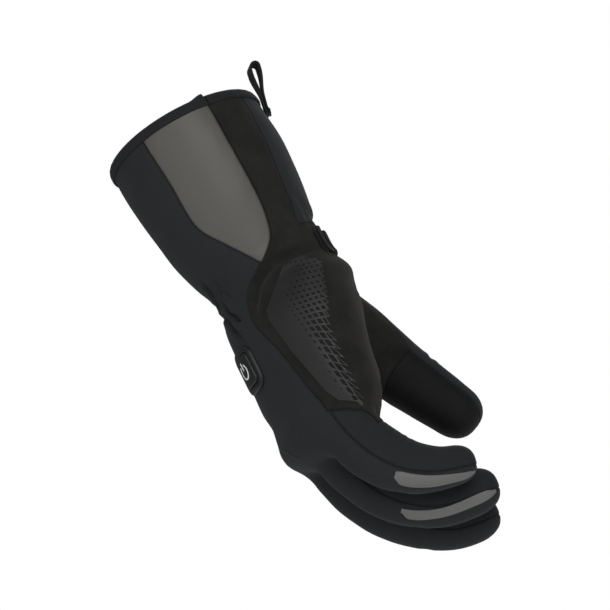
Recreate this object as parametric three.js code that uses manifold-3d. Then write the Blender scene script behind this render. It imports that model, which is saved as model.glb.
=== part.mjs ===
// Heated gauntlet glove for the left hand, keeping the form of a loosely curled hand.
// Millimetres. The origin is the centre of the cuff's mouth. +Z points up out of the mouth,
// the fingers reach down, +X is the palm side and -Y is the little finger's side.

import * as THREE from "three";
import Module from "manifold-3d";
import { mergeVertices } from "three/addons/utils/BufferGeometryUtils.js";

const wasm = await Module();
wasm.setup();

// Sizes of the cuff and the hand
const MOUTH_DEPTH = 97.5; // back to palm, across the mouth
const MOUTH_WIDTH = 106; // little finger's side to thumb side, across the mouth
const CUFF_LENGTH = 100.5; // mouth down to the gathered wrist
const WRIST_DEPTH = 77.5;
const WRIST_WIDTH = 78;
const HAND_LENGTH = 118; // wrist down to the forks of the fingers
const HAND_DEPTH = 85;
const HAND_WIDTH = 106; // across the knuckles
const PALM_CUP = 8; // how far the palm's two sides stand ahead of its middle
const WALL = 3; // outer cloth, padding and lining together
const SEAM_GAP = 0.3; // between neighbouring pieces

// Sizes of the fingers and the thumb
const FINGER_PITCH = 26.7;
const LITTLE_LENGTH = 92.5;
const RING_LENGTH = 117;
const MIDDLE_LENGTH = 121;
const INDEX_LENGTH = 109;
const LITTLE_DEPTH = 34; // back to front, at the root
const FINGER_DEPTH = 33; // the same for the other three
const FINGER_WIDTH = 25.4;
const THUMB_LENGTH = 125;
const THUMB_DEPTH = 44;
const THUMB_WIDTH = 38;

// Sizes of the trims
const BINDING_HEIGHT = 6.5;
const BINDING_CLOTH = 0.9;
const BINDING_STEP = 2; // how far the back binding's end rises over the palm binding
const FILM = 0.6; // grip print and reflective tapes
const STRAP_WIDTH = 16;
const STRAP_CLOTH = 1.3;
const TAB_RISE = 1.3; // thickness of the strap's pull end
const KEEPER_CLOTH = 1.2;
const LOOP_HEIGHT = 29.5;
const LOOP_SPAN = 7.4; // between the outsides of its two strands
const LOOP_WIDTH = 9; // width of its webbing
const LOOP_CLOTH = 1.4;
const BUTTON_SIDE = 27;
const BUTTON_HEIGHT = 2.3;
const PAD_SIDE = 19.5;
const PAD_RISE = 0.8;

// Rows down the cuff: down is a share of CUFF_LENGTH, back and palm are shares of MOUTH_DEPTH
// and side is a share of MOUTH_WIDTH, all measured from the axis.
const CUFF_ROWS = [
  { down: 0, back: 0.498, palm: 0.5, side: 0.5, square: 2 },
  { down: 0.08, back: 0.497, palm: 0.508, side: 0.5, square: 2 },
  { down: 0.283, back: 0.489, palm: 0.522, side: 0.487, square: 2 },
  { down: 0.508, back: 0.463, palm: 0.51, side: 0.462, square: 2.05 },
  { down: 0.693, back: 0.434, palm: 0.484, side: 0.428, square: 2.1 },
  { down: 0.857, back: 0.388, palm: 0.455, side: 0.39, square: 2.1 },
];

// The wrist: back and palm are shares of WRIST_DEPTH, side is a share of WRIST_WIDTH.
const WRIST_ROW = { back: 0.427, palm: 0.553, side: 0.5, square: 2.15 };

// Rows down the hand: down is a share of HAND_LENGTH, back and palm are shares of HAND_DEPTH,
// side is a share of HAND_WIDTH and cup is a share of PALM_CUP.
const HAND_ROWS = [
  { down: 0.068, back: 0.381, palm: 0.51, side: 0.378, cup: 0, square: 2.15 },
  { down: 0.178, back: 0.413, palm: 0.57, side: 0.432, cup: 0.2, square: 2.2 },
  { down: 0.263, back: 0.425, palm: 0.535, side: 0.468, cup: 0.5, square: 2.25 },
  { down: 0.356, back: 0.435, palm: 0.51, side: 0.487, cup: 0.8, square: 2.3 },
  { down: 0.5, back: 0.446, palm: 0.445, side: 0.497, cup: 1, square: 2.35 },
  { down: 0.61, back: 0.456, palm: 0.4, side: 0.5, cup: 1, square: 2.35 },
  { down: 0.703, back: 0.45, palm: 0.375, side: 0.5, cup: 1, square: 2.35 },
  { down: 0.788, back: 0.472, palm: 0.34, side: 0.5, cup: 1, square: 2.35 },
  { down: 0.856, back: 0.49, palm: 0.28, side: 0.498, cup: 1, square: 2.35 },
  { down: 0.93, back: 0.462, palm: 0.2, side: 0.494, cup: 1, square: 2.3 },
  { down: 1, back: 0.38, palm: 0.08, side: 0.478, cup: 1, square: 2.2 },
];

// Rows along a digit: along is a share of its length, lean is the angle from straight down
// towards the palm side, splay the angle sideways, depth and width are shares of its own sizes.
const LITTLE_ROWS = [
  { along: 0, lean: 6, splay: -3, depth: 1, width: 1 },
  { along: 0.24, lean: 18, splay: -5, depth: 1.02, width: 1.02 },
  { along: 0.47, lean: 36, splay: -5, depth: 0.97, width: 1 },
  { along: 0.69, lean: 60, splay: -4, depth: 0.8, width: 0.98 },
  { along: 0.83, lean: 73, splay: -2, depth: 0.68, width: 0.94 },
  { along: 1, lean: 80, splay: 0, depth: 0.62, width: 0.88 },
];
const RING_ROWS = [
  { along: 0, lean: 8, splay: -1, depth: 1, width: 1 },
  { along: 0.18, lean: 15, splay: -2, depth: 1, width: 1 },
  { along: 0.375, lean: 28, splay: -2, depth: 0.97, width: 1 },
  { along: 0.61, lean: 55, splay: -2, depth: 0.9, width: 0.98 },
  { along: 0.8, lean: 80, splay: -1, depth: 0.84, width: 0.95 },
  { along: 1, lean: 86, splay: 0, depth: 0.78, width: 0.9 },
];
const MIDDLE_ROWS = [
  { along: 0, lean: 8, splay: 1, depth: 1, width: 1 },
  { along: 0.3, lean: 22, splay: 1, depth: 1, width: 1 },
  { along: 0.52, lean: 42, splay: 1, depth: 0.95, width: 1 },
  { along: 0.72, lean: 60, splay: 1, depth: 0.9, width: 0.98 },
  { along: 0.85, lean: 80, splay: 0, depth: 0.84, width: 0.95 },
  { along: 1, lean: 88, splay: 0, depth: 0.78, width: 0.9 },
];
const INDEX_ROWS = [
  { along: 0, lean: 8, splay: 4, depth: 1, width: 1 },
  { along: 0.2, lean: 14, splay: 5, depth: 1, width: 1 },
  { along: 0.42, lean: 28, splay: 4, depth: 0.96, width: 1 },
  { along: 0.62, lean: 50, splay: 3, depth: 0.9, width: 0.98 },
  { along: 0.8, lean: 72, splay: 1, depth: 0.84, width: 0.95 },
  { along: 1, lean: 80, splay: 0, depth: 0.78, width: 0.9 },
];
const THUMB_ROWS = [
  { along: 0, lean: 24, splay: 26, depth: 1, width: 1 },
  { along: 0.25, lean: 27, splay: 22, depth: 1.05, width: 0.95 },
  { along: 0.5, lean: 26, splay: 10, depth: 0.91, width: 0.87 },
  { along: 0.75, lean: 26, splay: 0, depth: 0.8, width: 0.8 },
  { along: 0.9, lean: 25, splay: -6, depth: 0.73, width: 0.75 },
  { along: 1, lean: 25, splay: -8, depth: 0.7, width: 0.72 },
];

// The digits: across counts pitches from the hand's middle, ahead is a share of HAND_DEPTH
// towards the palm and down is a share of HAND_LENGTH below the wrist.
const FINGERS = [
  { name: "little", across: -1.5, ahead: -0.047, down: 0.822, length: LITTLE_LENGTH,
    depth: LITTLE_DEPTH, rows: LITTLE_ROWS },
  { name: "ring", across: -0.5, ahead: -0.165, down: 0.852, length: RING_LENGTH,
    depth: FINGER_DEPTH, rows: RING_ROWS },
  { name: "middle", across: 0.5, ahead: -0.212, down: 0.884, length: MIDDLE_LENGTH,
    depth: FINGER_DEPTH, rows: MIDDLE_ROWS },
  { name: "index", across: 1.5, ahead: -0.141, down: 0.848, length: INDEX_LENGTH,
    depth: FINGER_DEPTH, rows: INDEX_ROWS },
];
const THUMB = { across: 0.95, ahead: 0.24, down: 0.205, length: THUMB_LENGTH, rows: THUMB_ROWS };

// Soft dents of the gathered wrist: turn is the angle from the little finger's side towards the
// palm, down is a share of the whole glove from mouth to forks, deep is a share of WALL, round
// is its half breadth in degrees and tall its half height as a share of WRIST_WIDTH.
const DENTS = [
  { turn: -62, down: 0.449, deep: 0.75, round: 30, tall: 0.05 },
  { turn: -88, down: 0.515, deep: 0.4, round: 34, tall: 0.045 },
  { turn: -52, down: 0.545, deep: 0.6, round: 22, tall: 0.04 },
  { turn: -125, down: 0.48, deep: 0.7, round: 26, tall: 0.05 },
  { turn: 27, down: 0.485, deep: 0.7, round: 20, tall: 0.045 },
  { turn: 96, down: 0.397, deep: 0.6, round: 30, tall: 0.05 },
];

// Number of sides and rings of the lofts
const BODY_SIDES = 30;
const DIGIT_SIDES = 12;
const DIGIT_LINING_SIDES = 8;
const BODY_PLACES = [
  0, 0.09, 0.18, 0.27, 0.34, 0.39, 0.43, 0.465, 0.495, 0.53, 0.57, 0.62, 0.68, 0.74, 0.8, 0.85,
  0.89, 0.93, 0.97, 1,
];
const LINING_PLACES = [0, 0.06, 0.18, 0.32, 0.4, 0.45, 0.49, 0.53, 0.58, 0.66, 0.78, 0.88, 0.95, 1];
const DIGIT_STATIONS = [0, 0.15, 0.3, 0.44, 0.57, 0.69, 0.8, 0.88, 0.94, 0.98, 1];
const LINING_STATIONS = [0, 0.22, 0.42, 0.6, 0.78, 0.92, 1];
const TIP_START = 0.86; // share of a digit's length where its tip begins to round off
const SQUARENESS = 2.25; // exponent of the sections, 2 being an ellipse

const GLOVE_DROP = CUFF_LENGTH + HAND_LENGTH;
const DEGREE = Math.PI / 180;

// Plain helpers

function lerp(a, b, t) {
  return a + (b - a) * t;
}

function smooth(t) {
  const s = Math.min(1, Math.max(0, t));
  return s * s * (3 - 2 * s);
}

// Value of one column of a table at a place, along a smooth curve through its rows.
function readRows(rows, key, column, place) {
  const last = rows.length - 1;
  let k = rows.findIndex((row) => row[key] > place);
  if (k < 0) k = last;
  k = Math.max(1, k);
  const at = (n) => rows[Math.min(last, Math.max(0, n))];
  const [a, b, c, d] = [at(k - 2), at(k - 1), at(k), at(k + 1)];
  const span = c[key] - b[key];
  const t = Math.min(1, Math.max(0, (place - b[key]) / span));
  const slopeB = a === b ? 0 : ((c[column] - a[column]) / (c[key] - a[key])) * span;
  const slopeC = c === d ? 0 : ((d[column] - b[column]) / (d[key] - b[key])) * span;
  const [t2, t3] = [t * t, t * t * t];
  return (2 * t3 - 3 * t2 + 1) * b[column] + (t3 - 2 * t2 + t) * slopeB
    + (3 * t2 - 2 * t3) * c[column] + (t3 - t2) * slopeC;
}

// Triangles closing a flat ring of points.
function capFaces(ring) {
  const normal = new THREE.Vector3();
  const cross = new THREE.Vector3();
  ring.forEach((p, k) => normal.add(cross.crossVectors(p, ring[(k + 1) % ring.length])));
  const lengthwise = new THREE.Vector3().subVectors(ring[1], ring[0]).normalize();
  const sidewise = new THREE.Vector3().crossVectors(normal.normalize(), lengthwise);
  const flat = ring.map((p) => new THREE.Vector2(p.dot(lengthwise), p.dot(sidewise)));
  return THREE.ShapeUtils.triangulateShape(flat, []);
}

// Closed loft through rings of equal count.
function loft(rings) {
  const sides = rings[0].length;
  const faces = [];
  for (let r = 0; r + 1 < rings.length; r += 1) {
    for (let k = 0; k < sides; k += 1) {
      const a = r * sides + k;
      const b = r * sides + ((k + 1) % sides);
      faces.push([a, b, b + sides], [a, b + sides, a + sides]);
    }
  }
  const end = (rings.length - 1) * sides;
  for (const [a, b, c] of capFaces(rings[0])) faces.push([a, c, b]);
  for (const [a, b, c] of capFaces(rings[rings.length - 1])) {
    faces.push([end + a, end + b, end + c]);
  }
  return solidOf(rings.flat(), faces);
}

// Manifold solid of points and faces, turned outwards if they came inside out.
function solidOf(points, faces) {
  let volume = 0;
  const cross = new THREE.Vector3();
  for (const [a, b, c] of faces) {
    volume += points[a].dot(cross.crossVectors(points[b], points[c]));
  }
  const order = volume < 0 ? ([a, b, c]) => [a, c, b] : (face) => face;
  return new wasm.Manifold(new wasm.Mesh({
    numProp: 3,
    vertProperties: new Float32Array(points.flatMap((p) => [p.x, p.y, p.z])),
    triVerts: new Uint32Array(faces.flatMap(order)),
  }));
}

// Manifold solid of a three.js geometry.
function solidFrom(geometry) {
  geometry.deleteAttribute("normal");
  geometry.deleteAttribute("uv");
  const merged = mergeVertices(geometry, 1e-4);
  return new wasm.Manifold(new wasm.Mesh({
    numProp: 3,
    vertProperties: new Float32Array(merged.attributes.position.array),
    triVerts: new Uint32Array(merged.index.array),
  }));
}

function join(solids) {
  return solids.reduce((whole, solid) => whole.add(solid));
}

// The main body of a solid, without crumbs or closed bubbles.
function mainBody(solid) {
  return solid.decompose().reduce((best, part) => (part.volume() > best.volume() ? part : best));
}

function cut(solid, cutters) {
  return cutters.reduce((rest, cutter) => rest.subtract(cutter), solid);
}

// The cuff and hand as one form

// All rows down the glove, with their lengths in millimetres.
const bodyRows = [
  ...CUFF_ROWS.map((row) => ({
    depth: row.down * CUFF_LENGTH, back: row.back * MOUTH_DEPTH, palm: row.palm * MOUTH_DEPTH,
    side: row.side * MOUTH_WIDTH, cup: 0, square: row.square,
  })),
  {
    depth: CUFF_LENGTH, back: WRIST_ROW.back * WRIST_DEPTH, palm: WRIST_ROW.palm * WRIST_DEPTH,
    side: WRIST_ROW.side * WRIST_WIDTH, cup: 0, square: WRIST_ROW.square,
  },
  ...HAND_ROWS.map((row) => ({
    depth: CUFF_LENGTH + row.down * HAND_LENGTH, back: row.back * HAND_DEPTH,
    palm: row.palm * HAND_DEPTH, side: row.side * HAND_WIDTH, cup: row.cup * PALM_CUP,
    square: row.square,
  })),
];

function dentAt(turn, z) {
  let depth = 0;
  for (const dent of DENTS) {
    let off = turn - dent.turn;
    off -= 360 * Math.round(off / 360);
    const round = off / dent.round;
    const tall = (-z - dent.down * GLOVE_DROP) / (dent.tall * WRIST_WIDTH);
    depth += dent.deep * WALL * Math.exp(-round * round - tall * tall);
  }
  return depth;
}

// Point of the cuff and hand at a turn in degrees from the little finger's side towards the
// palm, at height z, grown outwards by a length.
function bodyPoint(turn, z, grow = 0) {
  const read = (column) => readRows(bodyRows, "depth", column, -z);
  const [back, palm, side] = [read("back"), read("palm"), read("side")];
  const swell = grow - dentAt(turn, z);
  const power = 2 / read("square");
  const [s, c] = [Math.sin(turn * DEGREE), Math.cos(turn * DEGREE)];
  const x = Math.sign(s) * Math.abs(s) ** power;
  const y = -Math.sign(c) * Math.abs(c) ** power;
  return new THREE.Vector3(
    (palm - back) / 2 + x * ((palm + back) / 2 + swell) + read("cup") * y * y,
    y * (side + swell),
    z,
  );
}

function bodyRing(z, grow) {
  return Array.from({ length: BODY_SIDES }, (_, k) => bodyPoint((360 * k) / BODY_SIDES, z, grow));
}

// Loft of the cuff and hand between two heights, with rings at shares of that length.
function bodySolid(top, bottom, grow, places) {
  return loft(places.map((share) => bodyRing(lerp(top, bottom, share), grow)));
}

// The digits

// Middle line of a digit: places with their direction, from its angles integrated in small steps.
function digitPath(digit) {
  const place = new THREE.Vector3(
    digit.ahead * HAND_DEPTH,
    digit.across * FINGER_PITCH,
    -CUFF_LENGTH - digit.down * HAND_LENGTH,
  );
  const steps = 100;
  const path = [];
  for (let k = 0; k <= steps; k += 1) {
    const along = k / steps;
    const lean = readRows(digit.rows, "along", "lean", along) * DEGREE;
    const splay = readRows(digit.rows, "along", "splay", along) * DEGREE;
    const forward = new THREE.Vector3(
      Math.sin(lean) * Math.cos(splay), Math.sin(splay), -Math.cos(lean) * Math.cos(splay));
    const front = new THREE.Vector3(Math.cos(lean), 0, Math.sin(lean));
    const across = new THREE.Vector3().crossVectors(front, forward);
    path.push({ along, place: place.clone(), forward, front, across });
    place.addScaledVector(forward, digit.length / steps);
  }
  return path;
}

function stationAt(digit, along) {
  return digit.path[Math.round(Math.min(1, Math.max(0, along)) * (digit.path.length - 1))];
}

// Shrinking factor of the rounded tip.
function tipFactor(along) {
  const t = Math.max(0, (along - TIP_START) / (1 - TIP_START));
  return Math.max(0.06, (1 - t ** 2.4) ** (1 / 2.4));
}

// Point of a digit at a share of its length and a turn from its little finger's side
// towards its front, grown outwards by a length.
function digitPoint(digit, along, turn, grow = 0) {
  const station = stationAt(digit, along);
  const tip = tipFactor(along);
  const depth = (readRows(digit.rows, "along", "depth", along) * digit.depth) / 2 + grow;
  const width = (readRows(digit.rows, "along", "width", along) * digit.width) / 2 + grow;
  const power = 2 / SQUARENESS;
  const [s, c] = [Math.sin(turn * DEGREE), Math.cos(turn * DEGREE)];
  return station.place.clone()
    .addScaledVector(station.front, Math.sign(s) * Math.abs(s) ** power * depth * tip)
    .addScaledVector(station.across, -Math.sign(c) * Math.abs(c) ** power * width * tip);
}

// Loft of a digit, its tip moved on by the same length that its sides are grown by.
function digitSolid(digit, grow, sides, stations) {
  return loft(stations.map((along) => {
    const slide = grow * smooth((along - TIP_START) / (1 - TIP_START));
    const forward = stationAt(digit, along).forward;
    return Array.from({ length: sides }, (_, k) =>
      digitPoint(digit, along, (360 * k) / sides, grow).addScaledVector(forward, slide));
  }));
}

const fingers = FINGERS.map((finger) => ({ ...finger, width: FINGER_WIDTH }));
const thumb = { ...THUMB, depth: THUMB_DEPTH, width: THUMB_WIDTH };
for (const digit of [...fingers, thumb]) digit.path = digitPath(digit);
const [little, ring] = fingers;

// Cutters that share the shell out among its cloth pieces

// Outline in the plane of the palm's depth and the glove's length, moved outwards by a length.
function grownOutline(points, grow) {
  const area = points.reduce((sum, p, k) => {
    const q = points[(k + 1) % points.length];
    return sum + p.x * q.z - q.x * p.z;
  }, 0);
  const side = Math.sign(area) * grow;
  return points.map((p, k) => {
    const before = points[(k + points.length - 1) % points.length];
    const after = points[(k + 1) % points.length];
    const u = new THREE.Vector2(p.x - before.x, p.z - before.z).normalize();
    const v = new THREE.Vector2(after.x - p.x, after.z - p.z).normalize();
    const n = new THREE.Vector2(u.y + v.y, -u.x - v.x);
    n.multiplyScalar((2 * side) / Math.max(0.4, n.lengthSq()));
    return { x: p.x + n.x, z: p.z + n.y };
  });
}

// Slab of an outline between two places across the hand.
function slab(points, grow, from, to) {
  const outline = grownOutline(points, grow);
  const shape = new THREE.Shape(outline.map((p) => new THREE.Vector2(p.x, p.z)));
  const geometry = new THREE.ExtrudeGeometry(shape, { depth: to - from, bevelEnabled: false });
  geometry.rotateX(Math.PI / 2);
  geometry.translate(0, to, 0);
  return solidFrom(geometry);
}

// Swept block along a digit, from its middle line outwards on one side. The side faces the
// front turned by an angle towards the thumb side; near, far, left and right bound the block.
function digitBlock(digit, from, to, face, { near, far, left, right }, grow = 0) {
  const count = 9;
  const share = grow / digit.length;
  return loft(Array.from({ length: count + 1 }, (_, k) => {
    const station = stationAt(digit, lerp(from - share, to, k / count));
    const out = station.front.clone().applyAxisAngle(station.forward, -face * DEGREE);
    const side = station.across.clone().applyAxisAngle(station.forward, -face * DEGREE);
    const corners = [
      [near - grow, left - grow], [far, left - grow], [far, right + grow], [near - grow, right + grow],
    ];
    return corners.map(([a, b]) =>
      station.place.clone().addScaledVector(out, a).addScaledVector(side, b));
  }));
}

// Seam between back and palm, seen from the side: down is a share of the glove from the mouth
// to the forks and ahead a share of MOUTH_DEPTH towards the palm.
const SIDE_SEAM = [
  { down: -0.049, ahead: 0.188 },
  { down: 0.057, ahead: 0.189 },
  { down: 0.298, ahead: 0.186 },
  { down: 0.369, ahead: 0.168 },
  { down: 0.42, ahead: 0.126 },
  { down: 0.465, ahead: 0.011 },
  { down: 0.501, ahead: -0.115 },
  { down: 0.551, ahead: -0.185 },
  { down: 0.584, ahead: -0.208 },
  { down: 0.634, ahead: -0.193 },
  { down: 0.712, ahead: -0.154 },
  { down: 0.812, ahead: -0.124 },
  { down: 0.904, ahead: -0.09 },
];
// Lower edge of the palm cloth, from the side seam to the palm's face.
const PALM_EDGE = [
  { down: 0.926, ahead: 0.02 },
  { down: 0.948, ahead: 0.1 },
  { down: 0.992, ahead: 0.135 },
  { down: 0.992, ahead: 1.2 },
  { down: -0.049, ahead: 1.2 },
];
// Left edge of the reflective panel, from the mouth to its tip on the side seam.
const PANEL_EDGE = [
  { down: -0.049, ahead: -0.262 },
  { down: 0.043, ahead: -0.258 },
  { down: 0.173, ahead: -0.24 },
  { down: 0.268, ahead: -0.238 },
  { down: 0.316, ahead: -0.214 },
];
// Edge of the cloth panel on the palm side of the cuff.
const GUSSET_EDGE = [
  { down: -0.049, ahead: 0.392 },
  { down: 0.067, ahead: 0.405 },
  { down: 0.186, ahead: 0.394 },
  { down: 0.33, ahead: 0.352 },
  { down: 0.411, ahead: 0.33 },
  { down: 0.411, ahead: 1.2 },
  { down: -0.049, ahead: 1.2 },
];

const place = (rows) => rows.map((row) => ({
  x: row.ahead * MOUTH_DEPTH, z: -row.down * GLOVE_DROP,
}));
const PANEL_TIP = 6; // rows of the side seam that also bound the reflective panel
const palmOutline = place([...SIDE_SEAM, ...PALM_EDGE]);
const panelOutline = place([...SIDE_SEAM.slice(0, PANEL_TIP), ...[...PANEL_EDGE].reverse()]);
const gussetOutline = place(GUSSET_EDGE);

const REACH = HAND_WIDTH; // past every wall, sideways
const palmSlab = (grow) => slab(palmOutline, grow, -REACH, REACH);
const panelSlab = (grow) => slab(panelOutline, grow, -REACH, 0);
const gussetSlab = (grow) => slab(gussetOutline, grow, -REACH, REACH);

const SEAM_BEHIND = 3.6; // the finger's side seam lies this far behind its middle line
const FRONT_START = 0.02; // share of the finger's length where its front cloth begins
const HALF_PITCH = FINGER_PITCH / 2 - SEAM_GAP / 2;

// Block holding the front half of a finger, wide enough to meet its neighbours at the fork.
function frontBlock(finger, grow) {
  const outer = FINGER_PITCH;
  const left = finger === fingers[0] ? -outer : -HALF_PITCH;
  const right = finger === fingers[fingers.length - 1] ? outer : HALF_PITCH;
  const bounds = { near: -SEAM_BEHIND, far: FINGER_DEPTH, left, right };
  return digitBlock(finger, FRONT_START, 1, 0, bounds, grow);
}

const THUMB_BACK_TURN = 38; // how far the thumb's back is turned to the thumb side
const THUMB_BACK_START = 0.3; // share of the thumb's length where its back cloth begins
const THUMB_FRONT_START = 0.54;
const THUMB_SEAM_OFF = 1.5; // from the thumb's middle line towards its back
const THUMB_REACH = THUMB_DEPTH; // past its walls

// Block holding one half of the thumb, kept to the thumb's own form.
function thumbBlock(start, face, near, grow) {
  const bounds = { near, far: THUMB_REACH, left: -THUMB_REACH, right: THUMB_REACH };
  return digitBlock(thumb, start, 1, face, bounds, grow)
    .intersect(digitSolid(thumb, SEAM_GAP + grow, DIGIT_SIDES, DIGIT_STATIONS));
}
const thumbBack = (grow) =>
  thumbBlock(THUMB_BACK_START, THUMB_BACK_TURN, THUMB_SEAM_OFF, grow);
const thumbFront = (grow) =>
  thumbBlock(THUMB_FRONT_START, THUMB_BACK_TURN + 180, SEAM_GAP - THUMB_SEAM_OFF, grow);

// The shell: outer form less the hollow for the hand

const RIM = -BINDING_CLOTH - SEAM_GAP; // cut edge of the shell, under the folded binding
const hollowTop = BINDING_HEIGHT;
const outerForm = mainBody(join([
  bodySolid(RIM, -GLOVE_DROP, 0, BODY_PLACES),
  ...fingers.map((finger) => digitSolid(finger, 0, DIGIT_SIDES, DIGIT_STATIONS)),
  digitSolid(thumb, 0, DIGIT_SIDES, DIGIT_STATIONS),
]));
const hollowForm = join([
  bodySolid(hollowTop, WALL - GLOVE_DROP, -WALL, LINING_PLACES),
  ...fingers.map((finger) => digitSolid(finger, -WALL, DIGIT_LINING_SIDES, LINING_STATIONS)),
  digitSolid(thumb, -WALL, DIGIT_LINING_SIDES, LINING_STATIONS),
]);
const shell = outerForm.subtract(hollowForm);

const fronts = fingers.map((finger) => cut(
  shell.intersect(frontBlock(finger, 0)),
  [palmSlab(SEAM_GAP), thumbBack(SEAM_GAP), thumbFront(SEAM_GAP)],
));
const thumbBackCloth = shell.intersect(thumbBack(0));
const thumbFrontCloth = shell.intersect(thumbFront(0));
const panel = shell.intersect(panelSlab(0)).subtract(palmSlab(SEAM_GAP));
const gusset = shell.intersect(gussetSlab(0));
const palm = cut(shell.intersect(palmSlab(0)),
  [gussetSlab(SEAM_GAP), thumbBack(SEAM_GAP), thumbFront(SEAM_GAP)]);
const back = cut(shell, [
  palmSlab(SEAM_GAP), panelSlab(SEAM_GAP), thumbBack(SEAM_GAP), thumbFront(SEAM_GAP),
  ...fingers.map((finger) => frontBlock(finger, SEAM_GAP)),
]);

// Trims on the surface

// Band that follows a surface: at each row the section's corners are given as a distance
// across the band and a lift off the surface.
function band(rows, section, surface) {
  return loft(rows.map((row) => section(row).map(([across, lift]) => surface(row, across, lift))));
}

function steps(from, to, count) {
  return Array.from({ length: count + 1 }, (_, k) => lerp(from, to, k / count));
}

// Turns from one to another, with every edge line of the cloth's facets between them.
function facetTurns(from, to) {
  const step = 360 / BODY_SIDES;
  const first = Math.floor(from / step) + 1;
  const count = Math.ceil(to / step) - first;
  return [from, ...Array.from({ length: count }, (_, k) => (first + k) * step), to];
}

// Heights of the facets' edges, the binding's upper edge first.
const facetHeights = [
  BINDING_HEIGHT, ...BODY_PLACES.map((share) => lerp(RIM, -GLOVE_DROP, share)),
];

// Point on the facets of the cuff and hand, lifted off them.
function clothPoint(turn, z, lift) {
  const heights = facetHeights;
  const turnStep = 360 / BODY_SIDES;
  const turnCell = Math.floor(turn / turnStep);
  const cell = Math.max(1, heights.findIndex((height) => height < z));
  const s = turn / turnStep - turnCell;
  const t = (heights[cell - 1] - z) / (heights[cell - 1] - heights[cell]);
  const corner = (a, b) => bodyPoint((turnCell + a) * turnStep, heights[cell - 1 + b], lift);
  return corner(0, 0).lerp(corner(1, 0), s).lerp(corner(0, 1).lerp(corner(1, 1), s), t);
}

// Folded tape round the rim, between two turns. The step raises and spreads its far end.
const BINDING_SPLIT = 22; // turn of the seam where the two bindings meet, on both sides
const STEP_TURN = 22; // length of the raised end, in degrees
const splitGap = (SEAM_GAP / (MOUTH_DEPTH / 2)) / DEGREE;

function binding(from, to, step) {
  const outer = SEAM_GAP + BINDING_CLOTH;
  const inner = -WALL - SEAM_GAP;
  const section = () => [
    [BINDING_HEIGHT, outer], [0, outer], [0, inner - BINDING_CLOTH],
    [BINDING_HEIGHT, inner - BINDING_CLOTH], [BINDING_HEIGHT, inner],
    [BINDING_CLOTH, inner], [BINDING_CLOTH, SEAM_GAP], [BINDING_HEIGHT, SEAM_GAP],
  ];
  return band(facetTurns(from, to), section, (turn, across, lift) => {
    const point = clothPoint(turn, -across, lift);
    point.z += step * smooth((turn - to + STEP_TURN) / STEP_TURN) * (1 - across / BINDING_HEIGHT);
    return point;
  });
}

const bindingBack = binding(
  180 - BINDING_SPLIT + splitGap, 360 + BINDING_SPLIT - splitGap, BINDING_STEP);
const bindingPalm = binding(BINDING_SPLIT + splitGap, 180 - BINDING_SPLIT - splitGap, 0);

// Strap across the palm side of the wrist, with its pull end and keeper over it.
const STRAP_TOP = -94.5; // height of its upper edge
const STRAP_TURNS = { from: 57, to: 142 };
const TAB_TURNS = { from: 74, to: 118 };
const KEEPER_TURNS = { from: 60, to: 68 };
const KEEPER_OVER = 1.2; // past the strap's edges
const TAB_INSET = 1.5; // inside the strap's edges

function strapBand({ from, to }, edge, low, high) {
  const places = [
    edge,
    ...facetHeights.map((z) => STRAP_TOP - z).filter((a) => a > edge && a < STRAP_WIDTH - edge),
    STRAP_WIDTH - edge,
  ];
  const section = () => [
    ...places.map((across) => [across, low]),
    ...[...places].reverse().map((across) => [across, high]),
  ];
  return band(facetTurns(from, to), section, (turn, across, lift) =>
    clothPoint(turn, STRAP_TOP - across, lift));
}

const strapTop = SEAM_GAP + STRAP_CLOTH;
const strap = strapBand(STRAP_TURNS, 0, SEAM_GAP, strapTop);
const tab = strapBand(
  TAB_TURNS, TAB_INSET, strapTop + SEAM_GAP, strapTop + SEAM_GAP + TAB_RISE);
const keeper = strapBand(
  KEEPER_TURNS, -KEEPER_OVER, strapTop + SEAM_GAP, strapTop + SEAM_GAP + KEEPER_CLOTH);

// Pull loop on the palm side of the rim: webbing folded into a drop, its two ends sewn flat to
// the cuff under the binding.
const LOOP_SEAT = 4; // length sewn to the cuff
const LOOP_FOOT = -14; // height of its lower ends
const LOOP_LEAN = 12.5; // how far it leans out over the rim, in degrees
const LOOP_TWIST = 16; // how far its top is turned, in degrees

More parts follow.
